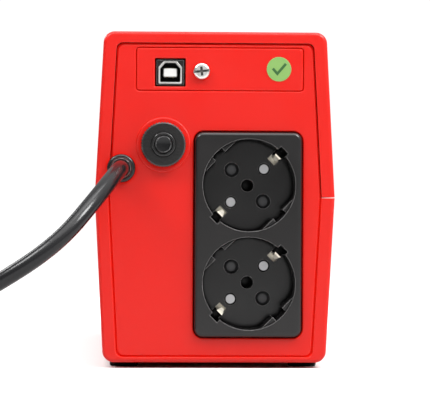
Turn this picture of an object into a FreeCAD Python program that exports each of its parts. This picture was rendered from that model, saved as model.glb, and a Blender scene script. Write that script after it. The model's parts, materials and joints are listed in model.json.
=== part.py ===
import FreeCAD, Part
import math
import os

# Uninterruptible power supply with two earthed sockets and a fixed input cord.
# The socket side looks along -Y and the front panel along +Y.  +Z is up.
# The origin is on the ground under the middle of the unit.  All sizes are in millimetres.

# Housing: a six-sided section, widest at the waist, where the cover meets the base.
body_width = 101.0
edge_width = 93.6
body_height = 139.0
waist_height = 69.45
body_depth = 279.0
wall = 2.4
corner_radius = 4.8
rear_rounding = 1.6
seam_gap = 0.3

# Feet, each in a shallow seat under the base.
foot_height = 2.4
foot_radius = 6.0
foot_seat_depth = 0.8
foot_clearance = 0.2
foot_bevel = 0.4
foot_inset_side = 8.8
foot_inset_rear = 18.0
foot_inset_front = 30.0

# Rear wall inside its border: a gap parts them above the seam and a groove below it.
side_border = 5.55
top_border = 4.7
bottom_border = 2.2
panel_recess = 0.4
panel_radius = 2.8
border_gap = 1.0
groove_depth = 0.7
groove_slope = 0.3
ledge_drop = 1.1
ledge_clearance = 0.25
opening_bevel = 0.45
plate_window_bevel = 0.35

# Data port plate and its round test sticker.
plate_x = 1.9
plate_width = 70.0
plate_height = 17.8
plate_below_border = 11.1
plate_radius = 1.2
plate_gap = 0.25
plate_flange = 1.5
plate_flange_lap = 1.0
label_x = 26.7
label_rise = 0.2
label_radius = 5.15
label_thickness = 0.15

# Square data socket.
usb_x = -19.0
usb_drop = 1.4
usb_body_width = 12.0
usb_body_height = 11.0
usb_body_length = 16.0
usb_window_gap = 0.45
usb_window_radius = 0.5
usb_setback = 0.6
usb_mouth_width = 9.8
usb_mouth_height = 9.4
usb_mouth_bevel_x = 2.1
usb_mouth_bevel_z = 2.4
usb_mouth_depth = 9.2
usb_mouth_radius = 0.5
usb_lining = 0.65
usb_lining_proud = 0.2
usb_tongue_width = 5.8
usb_tongue_height = 3.6
usb_tongue_length = 8.4
usb_contact_width = 0.9
usb_contact_thickness = 0.2
usb_contact_pitch = 2.5
usb_contact_setback = 1.0

# Screw that ties the port plate to the board bracket.
port_screw_x = -5.85
port_screw_drop = 0.9
port_head_radius = 3.45
port_head_height = 2.1
port_shank_radius = 1.45
port_shank_length = 7.0
port_slot_width = 1.0
port_slot_depth = 0.9
port_cross_length = 3.8
port_cross_depth = 1.5
port_screw_turn = 6.0
bracket_half_width = 5.5
bracket_thickness = 1.2
bracket_above_screw = 5.0
bracket_foot_length = 11.0
screw_hole_clearance = 0.15

# Input circuit breaker.
breaker_x = -21.8
breaker_z = 93.8
breaker_boss_radius = 11.5
breaker_boss_height = 0.6
breaker_boss_rounding = 0.45
breaker_nut_radius = 9.5
breaker_nut_height = 3.8
breaker_nut_bevel = 0.6
breaker_nut_teeth = 48
breaker_tooth_radius = 0.4
breaker_neck_radius = 5.05
breaker_neck_proud = 1.0
breaker_neck_rounding = 0.45
breaker_neck_clearance = 0.2
breaker_bore_radius = 4.0
breaker_body_width = 13.0
breaker_body_height = 32.0
breaker_body_depth = 28.0
breaker_well_depth = 17.0
reset_radius = 3.65
reset_proud = 1.2
reset_length = 17.0
reset_collar_length = 5.0
reset_rounding = 0.6
reset_dish_radius = 14.0
reset_dish_depth = 0.35
running_clearance = 0.07
blade_width = 6.3
blade_thickness = 0.8
blade_length = 8.0
blade_rise = 8.0

# Double socket block.
outlet_x = 13.95
outlet_z = 56.15
outlet_width = 45.05
outlet_height = 86.0
outlet_corner = 3.6
outlet_bevel = 1.7
outlet_proud = 2.5
outlet_gap = 0.45
outlet_flange = 2.0
outlet_flange_lap = 3.0
socket_pitch = 41.3
sockets_x = 14.3
sockets_z = 56.3
recess_radius = 19.5
recess_depth = 17.5
socket_floor = 1.6
pin_circle_radius = 9.5
pin_hole_radius = 3.1
centre_hole_radius = 2.55
centre_hole_chamfer = 0.2
centre_hole_end_wall = 2.5
rivet_circle_radius = 10.0
rivet_head_radius = 2.2
rivet_head_height = 0.9
rivet_head_setback = 0.3
rivet_head_bevel = 0.25
rivet_shank_radius = 1.5
rivet_grip = 10.0
rivet_clearance = 0.4
key_distance = 17.1
key_slot_width = 5.6
key_drop = 1.0
earth_pocket_width = 4.3
earth_pocket_inner = 14.2
earth_pocket_notch = 17.0
earth_pocket_outer = 21.0
clip_width = 3.2
clip_tip_width = 1.3
clip_thickness = 0.7
clip_root_reach = 17.0
clip_bend_reach = 15.7
clip_mouth_reach = 17.4
clip_mouth_drop = 2.5
clip_bend_drop = 6.5
clip_straight_drop = 11.5
shutter_room = 2.6
shutter_thickness = 2.0
shutter_plate = 0.8
shutter_pillar_radius = 2.5
shutter_pillar_rounding = 0.7
shutter_room_radius = 13.9
shutter_pad_radius = 3.6
shutter_ring_radius = 6.2
shutter_arm_width = 5.0
hub_radius = 4.0
rivet_post_radius = 2.7
outlet_back_inset = 1.3
outlet_back_depth = 18.0
outlet_back_wall = 1.6
contact_outer_radius = 3.4
contact_inner_radius = 2.3
contact_slit = 0.8
contact_start = 2.4
contact_clearance = 0.6
bar_width = 5.0
bar_thickness = 0.8
strap_width = 4.6
strap_thickness = 0.8
strap_clearance = 0.3
link_width = 3.6
strap_ring_radius = 4.9
outlet_screw_offset = 2.1
outlet_boss_radius = 3.2
outlet_boss_clearance = 0.3
outlet_screw_head_radius = 4.2
outlet_screw_head_height = 1.2
outlet_screw_shank_radius = 1.1
outlet_screw_shank_length = 3.0

# Strain relief and cord.
cord_radius = 3.4
cord_z = 83.8
cord_inset = 4.91
bushing_flange_radius = 5.95
bushing_flange_height = 2.6
bushing_flange_rounding = 1.1
bushing_nose_length = 7.0
bushing_nose_root_radius = 4.7
bushing_nose_tip_radius = 4.0
bushing_barrel_radius = 4.7
bushing_barrel_clearance = 0.2
bushing_barrel_length = 10.0
bushing_collar_radius = 5.6
bushing_collar_length = 2.0
bushing_socket_depth = 8.0
bushing_socket_clearance = 0.05

# Route of the cord from the strain relief to its coil, chosen by hand.
cord_route = [
    (-39.4, -162.0, 83.8),
    (-43.1, -178.0, 78.8),
    (-51.1, -193.0, 68.4),
    (-60.3, -202.0, 57.2),
    (-71.3, -206.0, 47.9),
    (-84.4, -206.0, 39.4),
    (-99.6, -202.0, 30.4),
    (-115.5, -196.5, 20.6),
    (-131.0, -190.5, 11.9),
    (-146.0, -187.6, 6.4),
]

# Coil of the put-away length, lying on the ground and held by a tie, and its plug.
coil_x = -160.0
coil_y = -142.0
coil_radius_inner = 30.0
coil_radius_outer = 44.0
coil_slack = 0.4
coil_layers = 2
turn_rounding = 0.8
tie_thickness = 0.8
tie_width = 7.0
tail_length = 44.0
plug_radius = 18.6
plug_height = 26.0
plug_rounding = 3.0
plug_neck_height = 10.0
plug_neck_length = 34.0
plug_neck_root_radius = 7.0
plug_neck_tip_radius = 4.6
plug_pin_pitch = 19.0
plug_pin_radius = 2.4
plug_pin_length = 19.0
plug_pin_rounding = 1.2
plug_key_width = 5.2
plug_key_depth = 2.2
plug_key_start = 19.5
plug_strip_width = 4.0
plug_strip_thickness = 0.6
plug_strip_height = 15.0
plug_strip_drop = 0.8
plug_strip_setback = 0.05
plug_face_rounding = 0.8

# Long case screws, driven from below into posts of the cover.
case_post_radius = 4.0
case_post_side_gap = 0.4
case_boss_radius = 5.0
case_boss_height = 28.0
case_screw_access_radius = 3.6
case_screw_seat = 8.0
case_screw_head_radius = 3.0
case_screw_head_height = 2.0
case_screw_shank_radius = 1.5
case_screw_shank_length = 20.0
rear_post_gap = 2.2
front_post_inset = 28.0

# Vent slots in both upper sides.
vent_count = 12
vent_width = 2.2
vent_height = 24.0
vent_pitch = 5.2
vent_below_top = 42.0
vent_first = 60.0

# Transformer on a steel cradle.
transformer_gap = 32.0
core_width = 76.0
core_height = 63.0
core_stack = 38.0
core_leg = 25.4
core_window_width = 12.7
core_window_height = 38.0
bobbin_wall = 1.0
bobbin_clearance = 0.1
bobbin_overhang = 10.0
winding_clearance = 0.3
winding_rounding = 4.0
cradle_thickness = 1.2
cradle_length = 52.0
cradle_lip = 3.0
cradle_screw_x = 33.0
cradle_screw_y = 22.5

# Battery, twelve volts and seven ampere-hours, with its strap.
battery_width = 65.0
battery_length = 151.0
battery_height = 94.0
battery_rounding = 2.0
battery_lid_height = 12.0
battery_lid_groove = 0.8
battery_gap = 1.0
battery_gap_behind_transformer = 30.0
battery_rib_thickness = 1.6
battery_rib_height = 10.0
terminal_width = 6.35
terminal_height = 7.0
terminal_x = 24.0
terminal_inset = 10.0
strap_band_width = 16.0
strap_band_thickness = 1.2
strap_band_inset = 190.0
strap_foot_length = 9.0
strap_boss_height = 15.0
strap_boss_radius = 4.0
chassis_screw_head_radius = 2.8
chassis_screw_head_height = 1.8
chassis_screw_shank_radius = 1.4
chassis_screw_shank_length = 7.0
skin_under_screws = 0.8
screw_point_clearance = 0.2

# Main board, level with the underside of the data socket.
board_thickness = 1.6
board_half_width = 42.0
board_start = 2.2
board_end = 150.0
board_notch_clearance = 2.0
shelf_clearance = 0.5
rib_drop = 7.2
shelf_x = 34.0
shelf_width = 8.0
shelf_depth = 10.0
shelf_height = 8.0
board_post_radius = 3.2
board_post_x = 38.3
board_post_insets = (112.0, 144.0)
board_screw_head_radius = 2.8
board_screw_head_height = 1.8
board_screw_shank_radius = 1.25
board_screw_shank_length = 6.0

# Parts on the main board.
sink_x = 21.0
sink_inset = 66.0
sink_length = 64.0
sink_height = 17.0
sink_base = 3.0
sink_fin_count = 5
sink_fin_thickness = 1.2
sink_fin_length = 9.0
transistor_width = 10.0
transistor_height = 15.0
transistor_thickness = 4.5
transistor_count = 4
transistor_pitch = 15.0
capacitor_radius = 5.0
capacitor_height = 18.0
capacitor_x = 4.0
capacitor_count = 3
capacitor_gap = 4.0
component_rounding = 0.7
relay_width = 15.5
relay_length = 19.0
relay_height = 15.0
relay_x = -20.0
relay_insets = (44.0, 66.0, 88.0)
buzzer_radius = 6.0
buzzer_height = 8.0
buzzer_inset = 112.0
buzzer_hole_radius = 1.0

# Front panel with its glossy fascia, power button and indicator lenses.
front_depth = 16.0
front_rounding = 4.0
front_gap = 0.3
lip_clearance = 0.25
lip_thickness = 1.6
lip_corner = 2.0
lip_length = 3.0
fascia_width = 50.0
fascia_height = 100.0
fascia_corner = 7.0
fascia_thickness = 1.6
fascia_proud = 0.4
fascia_fit = 0.25
fascia_above_base = 20.0
button_radius = 9.0
button_height_above_base = 94.0
button_proud = 1.0
button_rounding = 0.8
button_dish_radius = 60.0
button_dish_depth = 0.45
button_skirt = 7.0
button_stem = 2.5
button_travel = 1.5
button_over_travel = 0.2
button_fascia_gap = 0.3
guide_wall = 1.5
guide_length = 5.0
ring_width = 2.0
ring_height = 0.5
ring_gap = 0.3
lens_radius = 2.0
lens_pitch = 10.0
lens_rise = 17.0
lens_clearance = 0.1
lens_lamp_gap = 0.5
lens_proud = 0.3
lens_rounding = 0.6
front_board_width = 42.0
front_board_height = 40.0
front_board_setback = 14.0
front_post_radius = 2.6
front_post_x = 16.0
front_post_drop = 10.0
switch_size = 6.0
switch_height = 3.5
led_radius = 1.5
led_length = 5.0

# Inner wiring.
wire_radius = 1.1
battery_wire_radius = 1.7
ribbon_width = 10.0
ribbon_thickness = 0.9
ribbon_inset = 5.0
ribbon_rise = 6.0
connector_height = 6.0
connector_half_width = 2.2
connector_half_length = 4.2

# Small details shared by several parts; the last three are shares of a size.
small_bevel = 0.3
screw_rounding = 0.4
screw_drive = 0.42
bend_share = 0.45

# Places that follow from the sizes above.
breaker_reach = breaker_boss_height + breaker_nut_height + breaker_neck_proud + reset_proud
rear_reach = breaker_reach - panel_recess
front_reach = max(button_proud, fascia_proud + ring_height)
rear_y = rear_reach - (body_depth + rear_reach + front_reach) / 2
front_y = rear_y + body_depth
shell_front_y = front_y - front_depth
panel_y = rear_y + panel_recess
inner_y = panel_y + wall
body_low = foot_height
body_high = body_low + body_height
seam_z = body_low + waist_height
floor_z = body_low + wall
ceiling_z = body_high - wall

plate_z = body_high - top_border - plate_below_border
usb_z = plate_z - usb_drop
port_screw_z = plate_z - port_screw_drop
board_top = usb_z - usb_body_height / 2
board_bottom = board_top - board_thickness

post_x = edge_width / 2 - wall - case_post_radius - case_post_side_gap
case_boss_top = body_low + case_boss_height
case_seat_z = case_boss_top - case_screw_seat

nut_seat_y = panel_y - breaker_boss_height
nut_face_y = nut_seat_y - breaker_nut_height
neck_face_y = nut_face_y - breaker_neck_proud
reset_face_y = neck_face_y - reset_proud

bezel_y = panel_y - outlet_proud
socket_floor_y = bezel_y + recess_depth
split_y = socket_floor_y + socket_floor + shutter_room
outlet_back_y = split_y + outlet_back_depth
socket_zs = (sockets_z + socket_pitch / 2, sockets_z - socket_pitch / 2)

post_ys = (outlet_back_y + rear_post_gap, shell_front_y - front_post_inset)

fascia_z = body_low + fascia_above_base + fascia_height / 2
button_z = body_low + button_height_above_base
lens_z = button_z + lens_rise
lens_xs = (-lens_pitch, 0.0, lens_pitch)
front_board_y = front_y - front_board_setback
front_board_z = button_z + lens_rise / 2

transformer_y = post_ys[0] + transformer_gap
core_low = floor_z + cradle_thickness
battery_y = transformer_y + battery_gap_behind_transformer
battery_top = floor_z + battery_height


def vec(x, y, z):
    return FreeCAD.Vector(x, y, z)


def box(x0, x1, y0, y1, z0, z1):
    """Block between two opposite corners."""
    return Part.makeBox(x1 - x0, y1 - y0, z1 - z0, vec(x0, y0, z0))


def rod(x, z, radius, y0, y1):
    """Round bar along Y."""
    return Part.makeCylinder(radius, y1 - y0, vec(x, y0, z), vec(0, 1, 0))


def cone(x, z, radius0, radius1, y0, y1):
    """Tapered bar along Y, from one radius to another."""
    return Part.makeCone(radius0, radius1, y1 - y0, vec(x, y0, z), vec(0, 1, 0))


def post(x, y, radius, z0, z1):
    """Round bar along Z."""
    return Part.makeCylinder(radius, z1 - z0, vec(x, y, z0))


def joined(shapes):
    """One solid from pieces that touch."""
    return shapes[0].fuse(list(shapes[1:])).removeSplitter()


def group(shapes):
    """Separate solids kept together."""
    return Part.makeCompound(list(shapes))


def mirrored(shapes):
    """The shapes and their mirror images across the middle plane."""
    return list(shapes) + [shape.mirror(vec(0, 0, 0), vec(1, 0, 0)) for shape in shapes]


def outline(points, radius, y):
    """Face in a plane across Y with its corners rounded."""
    corners = [vec(x, y, z) for x, z in points]
    rounds = []
    for index, corner in enumerate(corners):
        back = (corners[index - 1] - corner).normalize()
        ahead = (corners[(index + 1) % len(corners)] - corner).normalize()
        half = back.getAngle(ahead) / 2
        reach = radius / math.tan(half)
        middle = (back + ahead).normalize() * (radius / math.sin(half) - radius)
        rounds.append((corner + back * reach, corner + middle, corner + ahead * reach))
    edges = []
    for index, (start, middle, end) in enumerate(rounds):
        following = rounds[(index + 1) % len(rounds)][0]
        edges.append(Part.Arc(start, middle, end).toShape())
        edges.append(Part.LineSegment(end, following).toShape())
    return Part.Face(Part.Wire(edges))


def rounded_rectangle(x, z, width, height, radius, y):
    """Face in a plane across Y."""
    x0, x1 = x - width / 2, x + width / 2
    z0, z1 = z - height / 2, z + height / 2
    return outline([(x0, z0), (x1, z0), (x1, z1), (x0, z1)], radius, y)


def plate(x, z, width, height, radius, y0, y1):
    """Rounded rectangular block across Y."""
    return rounded_rectangle(x, z, width, height, radius, y0).extrude(vec(0, y1 - y0, 0))


def tapered(face0, face1):
    """Solid between two faces of the same kind of outline."""
    return Part.makeLoft([face0.OuterWire, face1.OuterWire], True, True)


def bevelled_opening(x, z, width, height, radius, bevel):
    """Opening through the rear wall that widens towards its face."""
    wide = rounded_rectangle(x, z, width + 2 * bevel, height + 2 * bevel, radius + bevel, panel_y - 0.01)
    narrow = rounded_rectangle(x, z, width, height, radius, panel_y + bevel)
    return plate(x, z, width, height, radius, rear_y - 1, inner_y + 1).fuse(tapered(wide, narrow))


def half_width_at(z):
    """Half the outer width of the housing at a height."""
    slope = (body_width - edge_width) / 2
    if z < seam_z:
        return body_width / 2 - slope * (seam_z - z) / (seam_z - body_low)
    return body_width / 2 - slope * (z - seam_z) / (body_high - seam_z)


def section(side, low, high, radius, y):
    """Six-sided face set in from the housing's outline."""
    z0, z1 = body_low + low, body_high - high
    half0, half1 = half_width_at(z0) - side, half_width_at(z1) - side
    waist = body_width / 2 - side
    right = [(half0, z0), (waist, seam_z), (half1, z1)]
    points = right + [(-x, z) for x, z in reversed(right)]
    return outline(points, radius, y)


def rounded_front(shape, radius, y):
    """The shape with the edges that lie in one plane across Y rounded."""
    flat = [e for e in shape.Edges if e.BoundBox.YLength < 1e-6 and abs(e.BoundBox.YMin - y) < 1e-6]
    return shape.makeFillet(radius, flat)


def bevelled(shape, size, y):
    """The shape with the edges that lie in one plane across Y chamfered."""
    flat = [e for e in shape.Edges if e.BoundBox.YLength < 1e-6 and abs(e.BoundBox.YMin - y) < 1e-6]
    return shape.makeChamfer(size, flat)


def level_edges(shape, z):
    """Edges that lie in one level plane."""
    return [e for e in shape.Edges if e.BoundBox.ZLength < 1e-6 and abs(e.BoundBox.ZMin - z) < 1e-6]


def turned(shape, x, z, degrees):
    """The shape turned about an axis along Y."""
    shape = shape.copy()
    shape.rotate(vec(x, 0, z), vec(0, 1, 0), degrees)
    return shape


def tube(points, radius):
    """Round tube of straight runs and tangent arcs, and the radii of its bends."""
    knots = [vec(*p) for p in points]
    edges = []
    radii = []
    start = knots[0]
    for before, corner, after in zip(knots, knots[1:], knots[2:]):
        back, ahead = before - corner, after - corner
        shorter = min(back.Length, ahead.Length)
        back.normalize()
        ahead.normalize()
        half_turn = (math.pi - back.getAngle(ahead)) / 2
        reach = bend_share * shorter
        bend = reach / math.tan(half_turn)
        inward = (back + ahead).normalize() * (bend / math.cos(half_turn) - bend)
        first, last = corner + back * reach, corner + ahead * reach
        edges.append(Part.LineSegment(start, first).toShape())
        edges.append(Part.Arc(first, corner + inward, last).toShape())
        radii.append(bend)
        start = last
    edges.append(Part.LineSegment(start, knots[-1]).toShape())
    path = Part.Wire(edges)
    end = Part.Wire(Part.makeCircle(radius, knots[0], knots[1] - knots[0]))
    return path.makePipeShell([end], True, False), radii, path.Length


def round_screw(x, y, z, direction, head_radius, head_height, shank_radius, shank_length):
    """Screw whose head's underside is at the point; the shank runs along the direction."""
    seat = vec(x, y, z)
    ahead = vec(*direction)
    head = Part.makeCylinder(head_radius, head_height, seat - ahead * head_height, ahead)
    rim = [e for e in head.Edges if (e.CenterOfMass - (seat - ahead * head_height)).Length < 1e-3]
    head = head.makeFillet(head_height * screw_rounding, rim)
    top = seat - ahead * head_height
    drive = Part.makeCylinder(head_radius * screw_drive, head_height / 2, top, ahead)
    shank = Part.makeCylinder(shank_radius, shank_length, seat, ahead)
    return head.cut(drive).fuse(shank).removeSplitter()


def housing(y0, y1):
    """The solid shape of the whole housing between two planes."""
    return section(0, 0, 0, corner_radius, y0).extrude(vec(0, y1 - y0, 0))


def cavity(extra, radius, y0, y1):
    """The room inside the housing's walls, less an extra margin."""
    inset = wall + extra
    return section(inset, inset, inset, radius, y0).extrude(vec(0, y1 - y0, 0))


def half_space(z0, z1):
    return box(-body_width, body_width, -body_depth, body_depth, z0, z1)


def foot_places():
    for x in (-1, 1):
        for y in (rear_y + foot_inset_rear, front_y - foot_inset_front):
            yield x * (edge_width / 2 - foot_inset_side), y


def post_places():
    return [(side * post_x, y) for side in (-1, 1) for y in post_ys]


def outlet_screw_places():
    half_w = outlet_width / 2 + outlet_screw_offset
    half_h = outlet_height / 2 + outlet_screw_offset
    return [(outlet_x + i * half_w, outlet_z + j * half_h) for i in (-1, 1) for j in (-1, 1)]


def panel_holes():
    """Everything cut through the rear wall."""
    window = bevelled_opening(plate_x, plate_z, plate_width + 2 * plate_gap, plate_height + 2 * plate_gap,
                              plate_radius + plate_gap, plate_window_bevel)
    neck = rod(breaker_x, breaker_z, breaker_neck_radius + breaker_neck_clearance, rear_y - 2, inner_y + 1)
    opening = bevelled_opening(outlet_x, outlet_z, outlet_width + 2 * outlet_gap,
                               outlet_height + 2 * outlet_gap, outlet_corner + outlet_gap, opening_bevel)
    return [window, neck, opening, cord_hole()]


def cord_x():
    """The strain relief keeps its distance from the edge of the rear wall."""
    return cord_inset + side_border - half_width_at(cord_z)


def cord_hole():
    return rod(cord_x(), cord_z, bushing_barrel_radius + bushing_barrel_clearance, rear_y - 1, inner_y + 1)


def border_outline(inset, y):
    """Outline of the rear wall, set in from the border's inner edge."""
    return section(side_border + inset, bottom_border + inset, top_border + inset, panel_radius, y)


def border_groove():
    """What is cut from the rear wall's face: its setback and the groove round it."""
    floor_y = panel_y + groove_depth
    around = tapered(border_outline(0, rear_y - 0.01), border_outline(groove_slope, floor_y))
    within = tapered(border_outline(border_gap, panel_y), border_outline(border_gap - groove_slope, floor_y))
    return around.cut(within)


def rear_tongue():
    """Upper part of the rear wall, with a ledge behind the gap to the cover."""
    face = border_outline(border_gap, panel_y).extrude(vec(0, wall, 0))
    ledge = border_outline(ledge_clearance, panel_y + ledge_drop).extrude(vec(0, wall - ledge_drop, 0))
    return joined([face, ledge]).common(half_space(seam_z - wall, body_high))


def breaker_boss():
    return rod(breaker_x, breaker_z, breaker_boss_radius, nut_seat_y, panel_y + wall / 2)


def base_shell():
    """Tray, lower sides and the whole rear wall, with the posts that carry the inner parts."""
    outer = rounded_front(housing(rear_y, shell_front_y), rear_rounding, rear_y)
    shell = outer.common(half_space(0, seam_z - seam_gap / 2))
    shell = shell.cut([cavity(0, corner_radius - wall, inner_y, front_y), border_groove()])
    added = [rear_tongue(), rounded_front(breaker_boss(), breaker_boss_rounding, nut_seat_y)]
    for x, y in post_places():
        added.append(post(x, y, case_boss_radius, body_low, case_boss_top))
    for side in (-1, 1):
        for inset in board_post_insets:
            y = inner_y + inset
            added.append(post(side * board_post_x, y, board_post_radius, body_low, board_bottom))
            reach = side * (half_width_at(floor_z) - wall / 2)
            x0, x1 = sorted((side * board_post_x, reach))
            added.append(box(x0, x1, y - wall / 2, y + wall / 2, body_low + wall / 2, seam_z - rib_drop))
        shelf = box(side * shelf_x - shelf_width / 2, side * shelf_x + shelf_width / 2, panel_y + wall / 2,
                    inner_y + shelf_depth, board_bottom - shelf_height, board_bottom)
        added.append(shelf.cut(plate(plate_x, plate_z, plate_width + 4 * plate_flange_lap,
                                     plate_height + 4 * plate_flange_lap, plate_radius, inner_y,
                                     inner_y + plate_flange + shelf_clearance)))
    for y in (battery_y - battery_gap, battery_y + battery_length + battery_gap + battery_rib_thickness):
        added.append(box(-battery_width / 3, battery_width / 3, y - battery_rib_thickness, y,
                         body_low + wall / 2, floor_z + battery_rib_height))
    for x, z in outlet_screw_places():
        added.append(rod(x, z, outlet_boss_radius, inner_y - wall / 2, inner_y + outlet_flange))
    for x, y in strap_boss_places():
        added.append(post(x, y, strap_boss_radius, body_low + wall / 2, floor_z + strap_boss_height))
    shell = joined([shell] + added).cut(panel_holes())
    return shell.cut(base_screw_holes())


def base_screw_holes():
    holes = []
    for x, y in post_places():
        holes.append(post(x, y, case_screw_access_radius, 0, case_seat_z))
        holes.append(post(x, y, case_screw_shank_radius + screw_hole_clearance, 0, case_boss_top + 1))
    for x, y in foot_places():
        holes.append(post(x, y, foot_radius + foot_clearance, 0, body_low + foot_seat_depth))
    for side in (-1, 1):
        for y in board_screw_ys():
            x = side * (shelf_x if y < inner_y + shelf_depth else board_post_x)
            end = board_bottom - board_screw_shank_length
            holes.append(post(x, y, board_screw_shank_radius, end, board_bottom + 1))
    for x, z in outlet_screw_places():
        seat = inner_y + outlet_flange
        holes.append(rod(x, z, outlet_screw_shank_radius, seat - outlet_screw_shank_length, seat + 1))
    for x, y in strap_boss_places():
        top = floor_z + strap_boss_height
        holes.append(post(x, y, chassis_screw_shank_radius, top - chassis_screw_shank_length, top + 1))
    for x, y in cradle_screw_places():
        holes.append(post(x, y, chassis_screw_shank_radius, body_low + skin_under_screws, floor_z + 1))
    return holes


def upper_cover():
    """Top, upper sides and the rim round the rear wall, with vents and screw posts."""
    outer = rounded_front(housing(rear_y, shell_front_y), rear_rounding, rear_y)
    shell = outer.common(half_space(seam_z + seam_gap / 2, body_high + 1))
    shell = shell.cut(cavity(0, corner_radius - wall, inner_y, front_y))
    opening = section(side_border, bottom_border, top_border, panel_radius, rear_y - 1)
    cuts = [opening.extrude(vec(0, inner_y - rear_y + 2, 0)), cord_hole()]
    vent_low = body_high - vent_below_top
    for index in range(vent_count):
        y = rear_y + vent_first + index * vent_pitch
        for side in (-1, 1):
            x0, x1 = sorted((side * (edge_width / 2 - 3 * wall), side * body_width))
            cuts.append(box(x0, x1, y, y + vent_width, vent_low, vent_low + vent_height))
    shell = shell.cut(cuts)
    posts = [post(x, y, case_post_radius, case_boss_top, ceiling_z + wall / 2) for x, y in post_places()]
    bores = [post(x, y, case_screw_shank_radius, case_boss_top - 1, case_boss_top + case_screw_shank_length)
             for x, y in post_places()]
    return joined([shell] + posts).cut(bores)


def feet():
    shapes = []
    for x, y in foot_places():
        foot = post(x, y, foot_radius, 0, body_low + foot_seat_depth)
        shapes.append(foot.makeChamfer(foot_bevel, level_edges(foot, 0)))
    return group(shapes)


def case_screws():
    return group([round_screw(x, y, case_seat_z, (0, 0, 1), case_screw_head_radius, case_screw_head_height,
                              case_screw_shank_radius, case_screw_shank_length) for x, y in post_places()])


# Data port.

def port_plate():
    """Flush cover plate with a flange behind the rear wall."""
    back = inner_y + plate_flange
    face = plate(plate_x, plate_z, plate_width, plate_height, plate_radius, panel_y, back - plate_flange / 2)
    face = bevelled(face, plate_window_bevel, panel_y)
    lap = 2 * plate_flange_lap
    flange = plate(plate_x, plate_z, plate_width + lap, plate_height + lap, plate_radius, inner_y, back)
    width, height = usb_body_width + 2 * usb_window_gap, usb_body_height + 2 * usb_window_gap
    window = plate(usb_x, usb_z, width, height, usb_window_radius, panel_y - 1, back + 1)
    lip = tapered(rounded_rectangle(usb_x, usb_z, width + 2 * small_bevel, height + 2 * small_bevel,
                                    usb_window_radius + small_bevel, panel_y - 0.01),
                  rounded_rectangle(usb_x, usb_z, width, height, usb_window_radius, panel_y + small_bevel))
    hole = rod(port_screw_x, port_screw_z, port_shank_radius + screw_hole_clearance, panel_y - 1, back + 1)
    return joined([face, flange]).cut([window, lip, hole])


def test_label():
    """Thin round sticker."""
    return rod(label_x, plate_z + label_rise, label_radius, panel_y - label_thickness, panel_y)


def usb_mouth(margin, y0, y1):
    """The five-sided opening of the data socket, grown or shrunk by a margin."""
    half_w, half_h = usb_mouth_width / 2 + margin, usb_mouth_height / 2 + margin
    shoulder_x, shoulder_z = half_w - usb_mouth_bevel_x, half_h - usb_mouth_bevel_z
    points = [
        (-half_w, -half_h), (half_w, -half_h), (half_w, shoulder_z),
        (shoulder_x, half_h), (-shoulder_x, half_h), (-half_w, shoulder_z),
    ]
    points = [(usb_x + x, usb_z + z) for x, z in points]
    return outline(points, usb_mouth_radius, y0).extrude(vec(0, y1 - y0, 0))


usb_face_y = panel_y + usb_setback
usb_floor_y = usb_face_y + usb_mouth_depth


def usb_insulator():
    body = plate(usb_x, usb_z, usb_body_width, usb_body_height, usb_mouth_radius, usb_face_y,
                 usb_face_y + usb_body_length)
    body = bevelled(body, small_bevel, usb_face_y)
    return body.cut(usb_mouth(0, usb_face_y - 1, usb_floor_y))


def usb_shell():
    outer = usb_mouth(0, usb_face_y - usb_lining_proud, usb_floor_y)
    return outer.cut(usb_mouth(-usb_lining, usb_face_y - 1, usb_floor_y + 1))


def usb_tongue():
    start = usb_floor_y - usb_tongue_length
    tongue = plate(usb_x, usb_z, usb_tongue_width, usb_tongue_height, usb_mouth_radius, start, usb_floor_y)
    return bevelled(tongue, small_bevel, start)


def usb_contacts():
    shapes = []
    for side in (-1, 1):
        for along in (-1, 1):
            x = usb_x + along * usb_contact_pitch / 2
            z0 = usb_z + side * usb_tongue_height / 2
            z0, z1 = sorted((z0, z0 + side * usb_contact_thickness))
            shapes.append(box(x - usb_contact_width / 2, x + usb_contact_width / 2,
                              usb_floor_y - usb_tongue_length + usb_contact_setback, usb_floor_y, z0, z1))
    return group(shapes)


def port_screw():
    """Pan head with a crossed slot."""
    x, z = port_screw_x, port_screw_z
    top = panel_y - port_head_height
    head = rod(x, z, port_head_radius, top, panel_y)
    head = rounded_front(head, port_head_height / 2, top)
    half, reach = port_slot_width / 2, port_cross_length / 2
    slot = box(x - port_head_radius, x + port_head_radius, top - 1, top + port_slot_depth, z - half, z + half)
    arm = box(x - reach, x + reach, top - 1, top + port_cross_depth, z - half, z + half)
    shank = rod(x, z, port_shank_radius, panel_y, panel_y + port_shank_length)
    screw = joined([head.cut([slot, arm, turned(arm, x, z, 90)]), shank])
    return turned(screw, x, z, -port_screw_turn)


def port_bracket():
    """Folded angle that ties the port plate to the main board."""
    back = inner_y + plate_flange
    x0, x1 = port_screw_x - bracket_half_width, port_screw_x + bracket_half_width
    upright = box(x0, x1, back, back + bracket_thickness, board_top, port_screw_z + bracket_above_screw)
    foot = box(x0, x1, back, back + bracket_foot_length, board_top, board_top + bracket_thickness)
    hole = rod(port_screw_x, port_screw_z, port_shank_radius + screw_hole_clearance, back - 1, back + 3)
    return joined([upright, foot]).cut(hole)


# Input circuit breaker.

def breaker_nut():
    """Toothed ring nut."""
    nut = rod(breaker_x, breaker_z, breaker_nut_radius, nut_face_y, nut_seat_y)
    nut = bevelled(nut, breaker_nut_bevel, nut_face_y)
    teeth = []
    for index in range(breaker_nut_teeth):
        angle = 2 * math.pi * index / breaker_nut_teeth
        x = breaker_x + breaker_nut_radius * math.cos(angle)
        z = breaker_z + breaker_nut_radius * math.sin(angle)
        teeth.append(rod(x, z, breaker_tooth_radius, nut_face_y - 1, nut_seat_y + 1))
    return nut.cut(teeth + [rod(breaker_x, breaker_z, breaker_neck_radius, nut_face_y - 1, nut_seat_y + 1)])


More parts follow.
